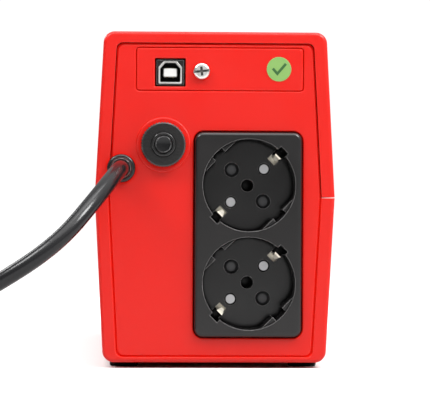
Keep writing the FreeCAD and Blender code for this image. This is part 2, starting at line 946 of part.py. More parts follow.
def breaker_neck():
    neck = rod(breaker_x, breaker_z, breaker_neck_radius, neck_face_y, inner_y)
    neck = rounded_front(neck, breaker_neck_rounding, neck_face_y)
    return neck.cut(rod(breaker_x, breaker_z, breaker_bore_radius, neck_face_y - 1, inner_y + 1))


def breaker_body():
    half_w, half_h = breaker_body_width / 2, breaker_body_height / 2
    body = box(breaker_x - half_w, breaker_x + half_w, inner_y, inner_y + breaker_body_depth,
               breaker_z - half_h, breaker_z + half_h)
    well = rod(breaker_x, breaker_z, breaker_bore_radius, inner_y - 1, inner_y + breaker_well_depth)
    return body.cut(well)


def breaker_terminals():
    back = inner_y + breaker_body_depth
    half_w, half_t = blade_width / 2, blade_thickness / 2
    shapes = []
    for z in (breaker_z - blade_rise, breaker_z + blade_rise):
        shapes.append(box(breaker_x - half_w, breaker_x + half_w, back, back + blade_length,
                          z - half_t, z + half_t))
    return group(shapes)


def reset_button():
    """Push-to-reset plunger with a guide collar deep in the breaker."""
    stem = rod(breaker_x, breaker_z, reset_radius, reset_face_y, reset_face_y + reset_length)
    stem = rounded_front(stem, reset_rounding, reset_face_y)
    collar = rod(breaker_x, breaker_z, breaker_bore_radius - running_clearance,
                 reset_face_y + reset_length - reset_collar_length, reset_face_y + reset_length)
    dish_y = reset_face_y - reset_dish_radius + reset_dish_depth
    dish = Part.makeSphere(reset_dish_radius, vec(breaker_x, dish_y, breaker_z))
    return joined([stem, collar]).cut(dish)


# Double socket block.

def socket_local(shape, z):
    """A shape made about the origin with its key line along X, turned and moved to a socket."""
    shape = turned(shape, 0, 0, 45)
    shape.translate(vec(sockets_x, 0, z))
    return shape


def socket_cut():
    """Recess with its key ribs left standing, earth pockets and floor holes, about the origin."""
    floor_back = socket_floor_y + socket_floor
    cut = rod(0, 0, recess_radius, bezel_y - 1, socket_floor_y)
    for side in (-1, 1):
        x0, x1 = sorted((side * key_distance, side * (recess_radius + 1)))
        rib = box(x0, x1, bezel_y + key_drop, socket_floor_y + 1, -recess_radius, recess_radius)
        half_slot = key_slot_width / 2
        rib = rib.cut(box(x0 - 1, x1 + 1, bezel_y, socket_floor_y + 1, -half_slot, half_slot))
        cut = cut.cut(rib)
    holes = []
    half_pocket = earth_pocket_width / 2
    for side in (-1, 1):
        z0, z1 = sorted((side * earth_pocket_notch, side * earth_pocket_outer))
        holes.append(box(-half_pocket, half_pocket, bezel_y - 1, split_y + 1, z0, z1))
        z0, z1 = sorted((side * earth_pocket_inner, side * earth_pocket_outer))
        holes.append(box(-half_pocket, half_pocket, socket_floor_y - 1, split_y + 1, z0, z1))
        holes.append(rod(side * pin_circle_radius, 0, pin_hole_radius, socket_floor_y - 1, floor_back + 1))
        rivet_z = side * rivet_circle_radius
        sunk = socket_floor_y + rivet_head_setback + rivet_head_height
        holes.append(rod(0, rivet_z, rivet_head_radius + rivet_clearance, socket_floor_y - 1, sunk))
        holes.append(rod(0, rivet_z, rivet_shank_radius, socket_floor_y - 1, split_y + 1))
    chamfer = cone(0, 0, centre_hole_radius + 2 * centre_hole_chamfer, centre_hole_radius,
                   socket_floor_y - centre_hole_chamfer, socket_floor_y + centre_hole_chamfer)
    holes.append(chamfer)
    holes.append(rod(0, 0, centre_hole_radius, socket_floor_y - 1, split_y + 1))
    room = rod(0, 0, shutter_room_radius, floor_back, split_y + 1)
    keep = [rod(0, 0, hub_radius, floor_back - 1, split_y + 2)]
    for z in (-rivet_circle_radius, rivet_circle_radius):
        keep.append(rod(0, z, rivet_post_radius, floor_back - 1, split_y + 2))
    return cut.fuse(holes + [room.cut(keep)])


def outlet_front():
    """Black block with both recesses, standing proud of the rear wall."""
    block = plate(outlet_x, outlet_z, outlet_width, outlet_height, outlet_corner, bezel_y, split_y)
    block = rounded_front(block, outlet_bevel, bezel_y)
    width, height = outlet_width + 2 * outlet_flange_lap, outlet_height + 2 * outlet_flange_lap
    back = inner_y + outlet_flange
    flange = plate(outlet_x, outlet_z, width, height, outlet_corner, inner_y, back)
    notches = [rod(x, z, outlet_boss_radius + outlet_boss_clearance, inner_y - 1, back + 1)
               for x, z in outlet_screw_places()]
    cut = socket_cut()
    return joined([block, flange]).cut(notches + [socket_local(cut, z) for z in socket_zs])


def outlet_back():
    """Rear cover of the socket block, with wells for the contacts."""
    width, height = outlet_width - 2 * outlet_back_inset, outlet_height - 2 * outlet_back_inset
    body = plate(outlet_x, outlet_z, width, height, outlet_corner, split_y, outlet_back_y)
    well_end = outlet_back_y - outlet_back_wall
    well_radius = contact_outer_radius + contact_clearance
    hole_end = outlet_back_y - centre_hole_end_wall
    cuts = earth_strap_shapes(strap_clearance)
    for z in socket_zs:
        for side in (-1, 1):
            cuts.append(socket_local(rod(side * pin_circle_radius, 0, well_radius, split_y - 1, well_end), z))
            hole = rod(0, side * rivet_circle_radius, rivet_shank_radius, split_y - 1, split_y + rivet_grip)
            cuts.append(socket_local(hole, z))
        cuts.append(rod(sockets_x, z, centre_hole_radius, split_y - 1, hole_end))
    half = bar_width / 2 + strap_clearance
    for offset in contact_offsets():
        x, lift = sockets_x + offset, contact_lift(offset)
        cuts.append(box(x - half, x + half, well_end - bar_thickness - strap_clearance, well_end,
                        socket_zs[1] - lift - bar_width, socket_zs[0] - lift + bar_width))
    return body.cut(cuts)


def contact_offsets():
    reach = pin_circle_radius / math.sqrt(2)
    return (-reach, reach)


def contact_lift(offset):
    """The left contact lies above the socket's centre and the right one below it."""
    return offset


def earth_strap_shapes(margin):
    """Flat straps behind both sockets, joined by a link."""
    half = strap_width / 2 + margin
    reach = clip_root_reach + margin
    back = split_y + strap_thickness + margin
    shapes = []
    for z in socket_zs:
        strap = box(-half, half, split_y, back, -reach, reach)
        ring = rod(0, 0, strap_ring_radius + margin, split_y, back)
        shapes.append(socket_local(strap.fuse(ring), z))
    half = link_width / 2 + margin
    shapes.append(box(sockets_x - half, sockets_x + half, split_y, back, socket_zs[1], socket_zs[0]))
    return shapes


def earth_clip(side):
    """Bent spring of one earth contact, about the origin: it narrows towards its bend."""
    line = [
        (split_y + strap_thickness, clip_root_reach), (bezel_y + clip_straight_drop, clip_root_reach),
        (bezel_y + clip_bend_drop, clip_bend_reach), (bezel_y + clip_mouth_drop, clip_mouth_reach),
    ]
    inner = [(y, z - clip_thickness) for y, z in line]
    points = [vec(-clip_width / 2, y, z) for y, z in line + inner[::-1]]
    spring = Part.Face(Part.makePolygon(points + [points[0]])).extrude(vec(clip_width, 0, 0))
    wide, narrow = clip_width / 2, clip_tip_width / 2
    low = clip_bend_reach - clip_thickness
    corners = [(-wide, clip_mouth_reach), (-narrow, low), (narrow, low), (wide, clip_mouth_reach)]
    points = [vec(x, bezel_y, z) for x, z in corners]
    taper = Part.Face(Part.makePolygon(points + [points[0]])).extrude(vec(0, split_y + 2 - bezel_y, 0))
    clip = spring.common(taper)
    if side < 0:
        clip = clip.mirror(vec(0, 0, 0), vec(0, 0, 1))
    return clip


def earth_clips():
    """Straps, link and the four sprung clips as one pressed part."""
    shapes = earth_strap_shapes(0)
    for z in socket_zs:
        shapes += [socket_local(earth_clip(side), z) for side in (-1, 1)]
    body = joined(shapes)
    cuts = []
    for z in socket_zs:
        cuts.append(rod(sockets_x, z, centre_hole_radius + rivet_clearance, split_y - 1, split_y + 3))
        for side in (-1, 1):
            radius = rivet_shank_radius + screw_hole_clearance
            hole = rod(0, side * rivet_circle_radius, radius, split_y - 1, split_y + 3)
            cuts.append(socket_local(hole, z))
    return body.cut(cuts)


def contact_bar(offset):
    """Two split sleeves on a flat bar, one sleeve for each socket."""
    well_end = outlet_back_y - outlet_back_wall
    start = split_y + contact_start
    x, lift = sockets_x + offset, contact_lift(offset)
    shapes = [box(x - bar_width / 2, x + bar_width / 2, well_end - bar_thickness, well_end,
                  socket_zs[1] - lift, socket_zs[0] - lift)]
    cuts = []
    for z in (socket_zs[0] - lift, socket_zs[1] - lift):
        shapes.append(rod(x, z, contact_outer_radius, start, well_end))
        cuts.append(rod(x, z, contact_inner_radius, start - 1, well_end - bar_thickness))
        cuts.append(box(x - contact_slit / 2, x + contact_slit / 2, start - 1, well_end - 2 * bar_thickness,
                        z, z + 2 * contact_outer_radius))
    return joined(shapes).cut(cuts)


def outlet_rivets():
    """Rivets that hold the two halves of the socket block together."""
    seat = socket_floor_y + rivet_head_setback
    shapes = []
    for z in socket_zs:
        for side in (-1, 1):
            head = rod(0, side * rivet_circle_radius, rivet_head_radius, seat, seat + rivet_head_height)
            shank = rod(0, side * rivet_circle_radius, rivet_shank_radius, seat, split_y + rivet_grip)
            shapes.append(socket_local(joined([bevelled(head, rivet_head_bevel, seat), shank]), z))
    return group(shapes)


def outlet_screws():
    return group([round_screw(x, inner_y + outlet_flange, z, (0, -1, 0), outlet_screw_head_radius,
                              outlet_screw_head_height, outlet_screw_shank_radius, outlet_screw_shank_length)
                  for x, z in outlet_screw_places()])


def shutter(z):
    """Turning shutter: a thin plate on the hub with two domed pillars behind the pin holes."""
    y0 = socket_floor_y + socket_floor + (shutter_room - shutter_thickness) / 2
    y1 = y0 + shutter_thickness
    plate_y = y1 - shutter_plate
    shapes = [rod(0, 0, shutter_ring_radius, plate_y, y1)]
    for side in (-1, 1):
        x = side * pin_circle_radius
        x0, x1 = sorted((0, x))
        shapes.append(box(x0, x1, plate_y, y1, -shutter_arm_width / 2, shutter_arm_width / 2))
        shapes.append(rod(x, 0, shutter_pad_radius, plate_y, y1))
        shapes.append(rounded_front(rod(x, 0, shutter_pillar_radius, y0, y1), shutter_pillar_rounding, y0))
    body = joined(shapes).cut(rod(0, 0, hub_radius + running_clearance, y0 - 1, y1 + 1))
    return socket_local(body, z)


# Strain relief, cord, coil and plug.

def cord_bushing():
    """Tapered strain relief with a snap collar behind the rear wall."""
    x = cord_x()
    flange_y = rear_y - bushing_flange_height
    flange = rod(x, cord_z, bushing_flange_radius, flange_y, rear_y)
    flange = rounded_front(flange, bushing_flange_rounding, flange_y)
    tip_y = flange_y - bushing_nose_length
    nose = cone(x, cord_z, bushing_nose_tip_radius, bushing_nose_root_radius, tip_y, flange_y)
    barrel = rod(x, cord_z, bushing_barrel_radius, rear_y, inner_y + bushing_barrel_length)
    collar = rod(x, cord_z, bushing_collar_radius, inner_y, inner_y + bushing_collar_length)
    socket = rod(x, cord_z, cord_radius + bushing_socket_clearance, tip_y - 1, cord_start_y())
    return joined([flange, nose, barrel, collar]).cut(socket)


def cord_start_y():
    return rear_y - bushing_flange_height - bushing_nose_length + bushing_socket_depth


coil_lay_z = tie_thickness + cord_radius
coil_top_z = coil_lay_z + (2 * coil_layers - 1) * cord_radius
coil_band = (coil_radius_inner - cord_radius - coil_slack, coil_radius_outer + cord_radius + coil_slack)


def cord_lead():
    """Free cord from the strain relief to the coil."""
    start = (cord_x(), cord_start_y(), cord_z)
    end = (coil_x, coil_y - coil_radius_outer, coil_lay_z)
    shape, radii, length = tube([start] + cord_route + [end], cord_radius)
    print("cord lead:", round(length, 1), "mm long, bends of", [round(r, 1) for r in radii], "mm")
    print("volume over section times length:", round(shape.Volume / (math.pi * cord_radius ** 2 * length), 4))
    return shape


def cord_coil():
    """Outer shape of the coiled length."""
    inner, outer = coil_band
    ring = post(coil_x, coil_y, outer, tie_thickness, coil_top_z)
    ring = ring.cut(post(coil_x, coil_y, inner, 0, coil_top_z + 1))
    edges = level_edges(ring, tie_thickness) + level_edges(ring, coil_top_z)
    return ring.makeFillet(cord_radius * turn_rounding, edges)


def cord_tie():
    """Band round the bundle of turns."""
    inner, outer = coil_band
    block = box(coil_x + inner - tie_thickness, coil_x + outer + tie_thickness, coil_y - tie_width / 2,
                coil_y + tie_width / 2, 0, coil_top_z + tie_thickness)
    across = [e for e in block.Edges if e.BoundBox.YLength > tie_width / 2]
    return block.makeFillet(cord_radius * turn_rounding, across).cut(cord_coil())


plug_x = coil_x - coil_radius_outer
tail_start_z = coil_top_z - cord_radius
tail_end_y = coil_y + tail_length
plug_y = tail_end_y + plug_neck_length


def cord_tail():
    """Short free length from the top of the coil to the plug."""
    points = [
        (plug_x, coil_y, tail_start_z), (plug_x - 0.6, coil_y + 16.0, tail_start_z + 0.4),
        (plug_x, coil_y + 30.0, plug_neck_height), (plug_x, tail_end_y, plug_neck_height),
    ]
    shape, radii, length = tube(points, cord_radius)
    print("cord tail:", round(length, 1), "mm long, bends of", [round(r, 1) for r in radii], "mm")
    return shape


def plug_body():
    """Angled two-pin earthed plug lying on its back, pins up."""
    body = post(plug_x, plug_y, plug_radius, 0, plug_height)
    body = body.makeFillet(plug_rounding, level_edges(body, 0))
    body = body.makeFillet(plug_face_rounding, level_edges(body, plug_height))
    neck = Part.makeCone(plug_neck_tip_radius, plug_neck_root_radius, plug_neck_length,
                         vec(plug_x, tail_end_y, plug_neck_height), vec(0, 1, 0))
    keys = []
    for side in (-1, 1):
        y0, y1 = sorted((side * (plug_radius - plug_key_depth), side * (plug_radius + 1)))
        half = plug_key_width / 2
        keys.append(box(plug_x - half, plug_x + half, plug_y + y0, plug_y + y1,
                        plug_key_start, plug_height + 1))
    return joined([body, neck]).cut(keys + plug_strip_shapes())


def plug_strip_shapes():
    """Seats of the two earth strips, open at the plug's side and face."""
    shapes = []
    for side in (-1, 1):
        x0, x1 = sorted((side * (plug_radius - plug_strip_thickness), side * (plug_radius + 1)))
        strip = box(plug_x + x0, plug_x + x1, plug_y - plug_strip_width / 2, plug_y + plug_strip_width / 2,
                    plug_height - plug_strip_height, plug_height)
        shapes.append(strip)
    return shapes


def plug_earth_strips():
    rim = post(plug_x, plug_y, plug_radius - plug_strip_setback, 0, plug_height - plug_strip_drop)
    return group([strip.common(rim) for strip in plug_strip_shapes()])


def plug_pins():
    shapes = []
    top = plug_height + plug_pin_length
    for side in (-1, 1):
        pin = post(plug_x + side * plug_pin_pitch / 2, plug_y, plug_pin_radius, plug_height, top)
        shapes.append(pin.makeFillet(plug_pin_rounding, level_edges(pin, top)))
    return group(shapes)


# Transformer.

def transformer_core():
    y0, y1 = transformer_y - core_stack / 2, transformer_y + core_stack / 2
    body = box(-core_width / 2, core_width / 2, y0, y1, core_low, core_low + core_height)
    middle = core_low + core_height / 2
    window = box(core_leg / 2, core_leg / 2 + core_window_width, y0 - 1, y1 + 1,
                 middle - core_window_height / 2, middle + core_window_height / 2)
    return body.cut(mirrored([window]))


def grown_leg(margin, z0, z1):
    """The core's middle leg with a margin all round."""
    half_x, half_y = core_leg / 2 + margin, core_stack / 2 + margin
    return box(-half_x, half_x, transformer_y - half_y, transformer_y + half_y, z0, z1)


def around_leg(inner, outer_x, outer_y, z0, z1):
    """Frame round the core's middle leg."""
    frame = box(-outer_x, outer_x, transformer_y - outer_y, transformer_y + outer_y, z0, z1)
    upright = [e for e in frame.Edges if e.BoundBox.ZLength > (z1 - z0) / 2]
    frame = frame.makeFillet(winding_rounding, upright)
    return frame.cut(grown_leg(inner, z0 - 1, z1 + 1))


def bobbin_limits():
    middle = core_low + core_height / 2
    half = core_window_height / 2 - bobbin_clearance
    reach_x = core_leg / 2 + core_window_width - bobbin_clearance
    reach_y = core_stack / 2 + bobbin_overhang
    return middle - half, middle + half, reach_x, reach_y


def transformer_bobbin():
    low, high, reach_x, reach_y = bobbin_limits()
    sleeve = grown_leg(bobbin_clearance + bobbin_wall, low, high)
    flanges = [around_leg(bobbin_clearance, reach_x, reach_y, low, low + bobbin_wall),
               around_leg(bobbin_clearance, reach_x, reach_y, high - bobbin_wall, high)]
    return joined([sleeve] + flanges).cut(grown_leg(bobbin_clearance, low - 1, high + 1))


def transformer_winding():
    low, high, reach_x, reach_y = bobbin_limits()
    inner = bobbin_clearance + bobbin_wall
    return around_leg(inner, reach_x - winding_clearance, reach_y - winding_clearance,
                      low + bobbin_wall, high - bobbin_wall)


def cradle_screw_places():
    return [(i * cradle_screw_x, transformer_y + j * cradle_screw_y) for i in (-1, 1) for j in (-1, 1)]


def transformer_bracket():
    """Folded cradle: base plate, two sides and lips over the core."""
    half_w = core_width / 2
    outer = half_w + cradle_thickness
    y0, y1 = transformer_y - core_stack / 2, transformer_y + core_stack / 2
    core_top = core_low + core_height
    top = core_top + cradle_thickness
    half_length = cradle_length / 2
    base = box(-half_w, half_w, transformer_y - half_length, transformer_y + half_length, floor_z, core_low)
    side = box(half_w, outer, y0, y1, floor_z, top)
    lip = box(half_w - cradle_lip, outer, y0, y1, core_top, top)
    radius = chassis_screw_shank_radius + screw_hole_clearance
    holes = [post(x, y, radius, 0, core_low + 1) for x, y in cradle_screw_places()]
    return joined([base] + mirrored([side, lip])).cut(holes)


# Battery.

def battery_case():
    half = battery_width / 2
    body = box(-half, half, battery_y, battery_y + battery_length, floor_z, battery_top)
    upright = [e for e in body.Edges if e.BoundBox.ZLength > battery_height / 2]
    body = body.makeFillet(battery_rounding, upright)
    z = battery_top - battery_lid_height
    ring = box(-half - 1, half + 1, battery_y - 1, battery_y + battery_length + 1, z, z + battery_lid_groove)
    core = box(battery_lid_groove - half, half - battery_lid_groove, battery_y + battery_lid_groove,
               battery_y + battery_length - battery_lid_groove, z - 1, z + 2)
    return body.cut(ring.cut(core))


def terminal_y():
    return battery_y + battery_length - terminal_inset


def battery_terminals():
    half_t, half_w = blade_thickness / 2, terminal_width / 2
    tab = box(terminal_x - half_t, terminal_x + half_t, terminal_y() - half_w, terminal_y() + half_w,
              battery_top, battery_top + terminal_height)
    return group(mirrored([tab]))


def strap_boss_places():
    x = battery_width / 2 + strap_band_thickness + strap_boss_radius + battery_gap
    y = inner_y + strap_band_inset
    return [(-x, y), (x, y)]


def battery_strap():
    """Steel band over the battery with a foot on each side."""
    y0 = inner_y + strap_band_inset - strap_band_width / 2
    y1 = y0 + strap_band_width
    inner = battery_width / 2 + battery_gap / 2
    outer = inner + strap_band_thickness
    foot_z = floor_z + strap_boss_height
    top = box(-outer, outer, y0, y1, battery_top, battery_top + strap_band_thickness)
    leg = box(inner, outer, y0, y1, foot_z, battery_top + strap_band_thickness)
    foot = box(inner, inner + strap_foot_length, y0, y1, foot_z, foot_z + strap_band_thickness)
    holes = [post(x, y, chassis_screw_shank_radius + screw_hole_clearance, foot_z - 1, foot_z + 3)
             for x, y in strap_boss_places()]
    return joined([top] + mirrored([leg, foot])).cut(holes)


def chassis_screws():
    """Screws of the transformer cradle and of the battery strap."""
    down = (0, 0, -1)
    head = (chassis_screw_head_radius, chassis_screw_head_height, chassis_screw_shank_radius)
    strap_seat = floor_z + strap_boss_height + strap_band_thickness
    shapes = [round_screw(x, y, strap_seat, down, *head, chassis_screw_shank_length)
              for x, y in strap_boss_places()]
    short = core_low - body_low - skin_under_screws - screw_point_clearance
    shapes += [round_screw(x, y, core_low, down, *head, short) for x, y in cradle_screw_places()]
    return group(shapes)


# Main board and its parts.

def board_screw_ys():
    return [inner_y + (board_start + shelf_depth) / 2] + [inner_y + inset for inset in board_post_insets]


def main_board():
    board = box(-board_half_width, board_half_width, inner_y + board_start, inner_y + board_end,
                board_bottom, board_top)
    radius = board_screw_shank_radius + screw_hole_clearance
    cuts = []
    clear = case_post_radius + board_notch_clearance
    for side in (-1, 1):
        x0, x1 = sorted((side * (post_x - clear), side * (board_half_width + 1)))
        cuts.append(box(x0, x1, post_ys[0] - clear, post_ys[0] + clear, board_bottom - 1, board_top + 1))
        for y in board_screw_ys():
            x = side * (shelf_x if y < inner_y + shelf_depth else board_post_x)
            cuts.append(post(x, y, radius, board_bottom - 1, board_top + 1))
    return board.cut(cuts)


def board_screws():
    """Screws of the main board and of the front board."""
    screw = (board_screw_head_radius, board_screw_head_height,
             board_screw_shank_radius, board_screw_shank_length)
    shapes = []
    for side in (-1, 1):
        for y in board_screw_ys():
            x = side * (shelf_x if y < inner_y + shelf_depth else board_post_x)
            shapes.append(round_screw(x, y, board_top, (0, 0, -1), *screw))
    for x, z in front_post_places():
        shapes.append(round_screw(x, front_board_y - board_thickness, z, (0, 1, 0), *screw))
    return group(shapes)


def heat_sink():
    """Extruded bar with upright fins on one side."""
    y0, y1 = inner_y + sink_inset, inner_y + sink_inset + sink_length
    shapes = [box(sink_x, sink_x + sink_base, y0, y1, board_top, board_top + sink_height)]
    step = (sink_height - sink_fin_thickness) / (sink_fin_count - 1)
    for index in range(sink_fin_count):
        z = board_top + index * step
        shapes.append(box(sink_x, sink_x + sink_base + sink_fin_length, y0, y1, z, z + sink_fin_thickness))
    return joined(shapes)


def power_transistors():
    shapes = []
    half_w = transistor_width / 2
    middle = inner_y + sink_inset + sink_length / 2
    for index in range(transistor_count):
        y = middle + (index - (transistor_count - 1) / 2) * transistor_pitch
        shapes.append(box(sink_x - transistor_thickness, sink_x, y - half_w, y + half_w,
                          board_top, board_top + transistor_height))
    return group(shapes)


def capacitors():
    shapes = []
    top = board_top + capacitor_height
    for index in range(capacitor_count):
        y = inner_y + sink_inset + capacitor_radius + index * (2 * capacitor_radius + capacitor_gap)
        can = post(capacitor_x, y, capacitor_radius, board_top, top)
        shapes.append(can.makeFillet(component_rounding, level_edges(can, top)))
    return group(shapes)


def relays():
    shapes = []
    half_w, half_l = relay_width / 2, relay_length / 2
    top = board_top + relay_height
    for inset in relay_insets:
        y = inner_y + inset
        body = box(relay_x - half_w, relay_x + half_w, y - half_l, y + half_l, board_top, top)
        shapes.append(body.makeFillet(component_rounding, level_edges(body, top)))
    return group(shapes)


def buzzer():
    y = inner_y + buzzer_inset
    top = board_top + buzzer_height
    body = post(relay_x, y, buzzer_radius, board_top, top)
    return body.cut(post(relay_x, y, buzzer_hole_radius, board_top + buzzer_height / 2, top + 1))


# Front panel.

def front_panel():
    """Cap with a lip inside the shells, a seat for the fascia and a guide for the button."""
    start = shell_front_y + front_gap
    inside_y = front_y - wall
    lip_y = shell_front_y - lip_length
    cap = rounded_front(housing(start, front_y), front_rounding, front_y)
    cap = cap.cut(cavity(0, corner_radius - wall, start - 1, inside_y))
    lip = cavity(lip_clearance, lip_corner, lip_y, inside_y)
    lip = lip.cut(cavity(lip_clearance + lip_thickness, lip_corner / 2, lip_y - 1, inside_y))
    guide_radius = button_radius + running_clearance
    guide = rod(0, button_z, guide_radius + guide_wall, inside_y - guide_length, inside_y)
    posts = [rod(x, z, front_post_radius, front_board_y, inside_y) for x, z in front_post_places()]
    seat_y = front_y - fascia_thickness + fascia_proud
    cuts = [plate(0, fascia_z, fascia_width, fascia_height, fascia_corner, seat_y, front_y + 1)]
    cuts.append(rod(0, button_z, guide_radius, shell_front_y, front_y + 1))
    cuts += [rod(x, lens_z, lens_radius + lens_clearance, shell_front_y, front_y + 1) for x in lens_xs]
    hole_end = front_board_y + board_screw_shank_length
    cuts += [rod(x, z, board_screw_shank_radius, front_board_y - 1, hole_end) for x, z in front_post_places()]
    return joined([cap, lip, guide] + posts).cut(cuts)


def front_post_places():
    z = front_board_z + front_board_height / 2 - front_post_drop
    return [(-front_post_x, z), (front_post_x, z)]


def front_fascia():
    fit = 2 * fascia_fit
    face = plate(0, fascia_z, fascia_width - fit, fascia_height - fit, fascia_corner - fascia_fit,
                 front_y - fascia_thickness + fascia_proud, front_y + fascia_proud)
    face = bevelled(face, small_bevel, front_y + fascia_proud)
    cuts = [rod(0, button_z, button_radius + button_fascia_gap, shell_front_y, front_y + 2)]
    cuts += [rod(x, lens_z, lens_radius + lens_clearance, shell_front_y, front_y + 2) for x in lens_xs]
    return face.cut(cuts)


def button_ring():
    face = front_y + fascia_proud
    inner = button_radius + ring_gap
    ring = rod(0, button_z, inner + ring_width, face, face + ring_height)
    ring = bevelled(ring, ring_height / 2, face + ring_height)
    return ring.cut(rod(0, button_z, inner, face - 1, face + 2))


def power_button():
    face = front_y + button_proud
    cap = rod(0, button_z, button_radius, face - button_skirt, face)
    cap = rounded_front(cap, button_rounding, face)
    stem_end = front_board_y + switch_height + button_travel + button_over_travel
    stem = rod(0, button_z, button_stem, stem_end, face - button_skirt / 2)
    dish_y = face + button_dish_radius - button_dish_depth
    dish = Part.makeSphere(button_dish_radius, vec(0, dish_y, button_z))
    return joined([cap, stem]).cut(dish)


def indicator_lenses():
    shapes = []
    start = front_board_y + led_length + lens_lamp_gap
    face = front_y + fascia_proud + lens_proud
    for x in lens_xs:
        lens = rod(x, lens_z, lens_radius, start, face)
        shapes.append(rounded_front(lens, lens_rounding, face))
    return group(shapes)


def front_board():
    """Upright board with the key switch and the lamps soldered on."""
    half_w, half_h = front_board_width / 2, front_board_height / 2
    back = front_board_y - board_thickness
    board = box(-half_w, half_w, back, front_board_y, front_board_z - half_h, front_board_z + half_h)
    radius = board_screw_shank_radius + screw_hole_clearance
    holes = [rod(x, z, radius, back - 1, front_board_y + 1) for x, z in front_post_places()]
    half = switch_size / 2
    switch_face = front_board_y + switch_height
    switch = box(-half, half, front_board_y, switch_face, button_z - half, button_z + half)
    lamps = [rod(x, lens_z, led_radius, front_board_y, front_board_y + led_length) for x in lens_xs]
    return joined([board.cut(holes), switch] + lamps)


# Wiring.

def battery_wires():
    """Two heavy leads with sleeves on the battery tabs, ending on the main board."""
    shapes = []
    board_edge = inner_y + board_end
    y = terminal_y()
    low = battery_top + terminal_height
    z = low + connector_height / 2
    for side in (-1, 1):
        x = side * terminal_x
        sleeve = box(x - connector_half_width, x + connector_half_width, y - connector_half_length,
                     y + connector_half_length, low, low + connector_height)
        points = [
            (x, y - 4.0, z), (x, y - 22.0, z), (x, y - 38.0, board_top + 9.0),
            (x, board_edge + 16.0, board_top + 9.5), (x, board_edge - 5.0, board_top + 9.0),
            (x, board_edge - 5.0, board_top),
        ]
        shapes.append(sleeve.fuse(tube(points, battery_wire_radius)[0]))
    return group(shapes)


def mains_wires():
    """Leads from the cord to the breaker, the board and the earth clips, and on to the sockets."""
    start = inner_y + bushing_barrel_length
    x = cord_x()
    blade = inner_y + breaker_body_depth + blade_length
    blade_z = breaker_z - blade_rise
    beside = outlet_x - outlet_width / 2 + outlet_back_inset + 4
    live = [
        (x + 2, start, cord_z), (x + 2, start + 9, cord_z),
        (case_post_radius + 5 - post_x, blade - 3, cord_z), (x + 13, blade + 8, blade_z),
        (breaker_x, blade + 10, blade_z), (breaker_x, blade, blade_z),
    ]
    neutral = [
        (x - 2, start, cord_z + 1), (x - 2, start + 8, cord_z + 1), (x + 1, start + 14, cord_z + 8),
        (x + 5, start + 17, board_bottom - 12), (x + 5, start + 17, board_bottom),
    ]
    earth = [
        (x, start, cord_z - 2.6), (x, start + 8, cord_z - 2.6), (x + 10, start + 20, cord_z - 12),
        (x + 22, outlet_back_y + 8, cord_z - 14), (beside, outlet_back_y + 10, cord_z - 16),
        (beside, outlet_back_y, cord_z - 16),
    ]
    routes = [live, neutral, earth]
    for offset in contact_offsets():
        out_x, z = sockets_x + offset, socket_zs[0] + 8
        routes.append([(out_x, outlet_back_y, z), (out_x, outlet_back_y + 7, z),
                       (out_x, outlet_back_y + 9, z + 14), (out_x, outlet_back_y + 9, board_bottom)])
    return group([tube(route, wire_radius)[0] for route in routes])


def signal_cable():
    """Flat cable from the front board to the main board."""
    y0 = inner_y + board_end - ribbon_inset
    y1 = front_board_y - board_thickness
    low, high = board_top, board_top + ribbon_rise
    line = [(y0, low), (y0, high), (y1, high)]
    above, before = high + ribbon_thickness, y0 - ribbon_thickness
    back = [(y1, above), (before, above), (before, low)]
    points = [vec(-ribbon_width / 2, y, z) for y, z in line + back]
    return Part.Face(Part.makePolygon(points + [points[0]])).extrude(vec(ribbon_width, 0, 0))


def write(name, shape):
    """One STEP file for each sub-part."""
    if not shape.isValid():
        print("not valid:", name)
    shape.exportStep(os.path.join("parts", name + ".step"))


os.makedirs("parts", exist_ok=True)
left_contact, right_contact = contact_offsets()
model = {
    "base_shell": base_shell(),
    "upper_cover": upper_cover(),
    "front_panel": front_panel(),
    "front_fascia": front_fascia(),
    "button_ring": button_ring(),
    "power_button": power_button(),
    "indicator_lenses": indicator_lenses(),
    "front_board": front_board(),
    "feet": feet(),
    "case_screws": case_screws(),
    "port_plate": port_plate(),
    "port_screw": port_screw(),
    "port_bracket": port_bracket(),
    "test_label": test_label(),
    "usb_insulator": usb_insulator(),
    "usb_shell": usb_shell(),
    "usb_tongue": usb_tongue(),
    "usb_contacts": usb_contacts(),
    "breaker_body": breaker_body(),
    "breaker_neck": breaker_neck(),
    "breaker_nut": breaker_nut(),
    "breaker_terminals": breaker_terminals(),
    "reset_button": reset_button(),
    "outlet_front": outlet_front(),
    "outlet_back": outlet_back(),
    "outlet_rivets": outlet_rivets(),
    "outlet_screws": outlet_screws(),
    "earth_clips": earth_clips(),
    "live_contacts": contact_bar(left_contact),
    "neutral_contacts": contact_bar(right_contact),
    "shutter_upper": shutter(socket_zs[0]),
    "shutter_lower": shutter(socket_zs[1]),
    "cord_bushing": cord_bushing(),
    "cord_lead": cord_lead(),
    "cord_coil": cord_coil(),
    "cord_tail": cord_tail(),
    "cord_tie": cord_tie(),
    "plug_body": plug_body(),
    "plug_pins": plug_pins(),
    "plug_earth_strips": plug_earth_strips(),
    "transformer_core": transformer_core(),
    "transformer_bobbin": transformer_bobbin(),
    "transformer_winding": transformer_winding(),
    "transformer_bracket": transformer_bracket(),
    "battery_case": battery_case(),
    "battery_terminals": battery_terminals(),
    "battery_strap": battery_strap(),
    "chassis_screws": chassis_screws(),
    "main_board": main_board(),
    "board_screws": board_screws(),
    "heat_sink": heat_sink(),
    "power_transistors": power_transistors(),
    "capacitors": capacitors(),
    "relays": relays(),
    "buzzer": buzzer(),
    "battery_wires": battery_wires(),
    "mains_wires": mains_wires(),
    "signal_cable": signal_cable(),
}
for name, shape in model.items():
    write(name, shape)
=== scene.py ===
import json
import math

import bmesh
import bpy
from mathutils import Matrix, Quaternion, Vector


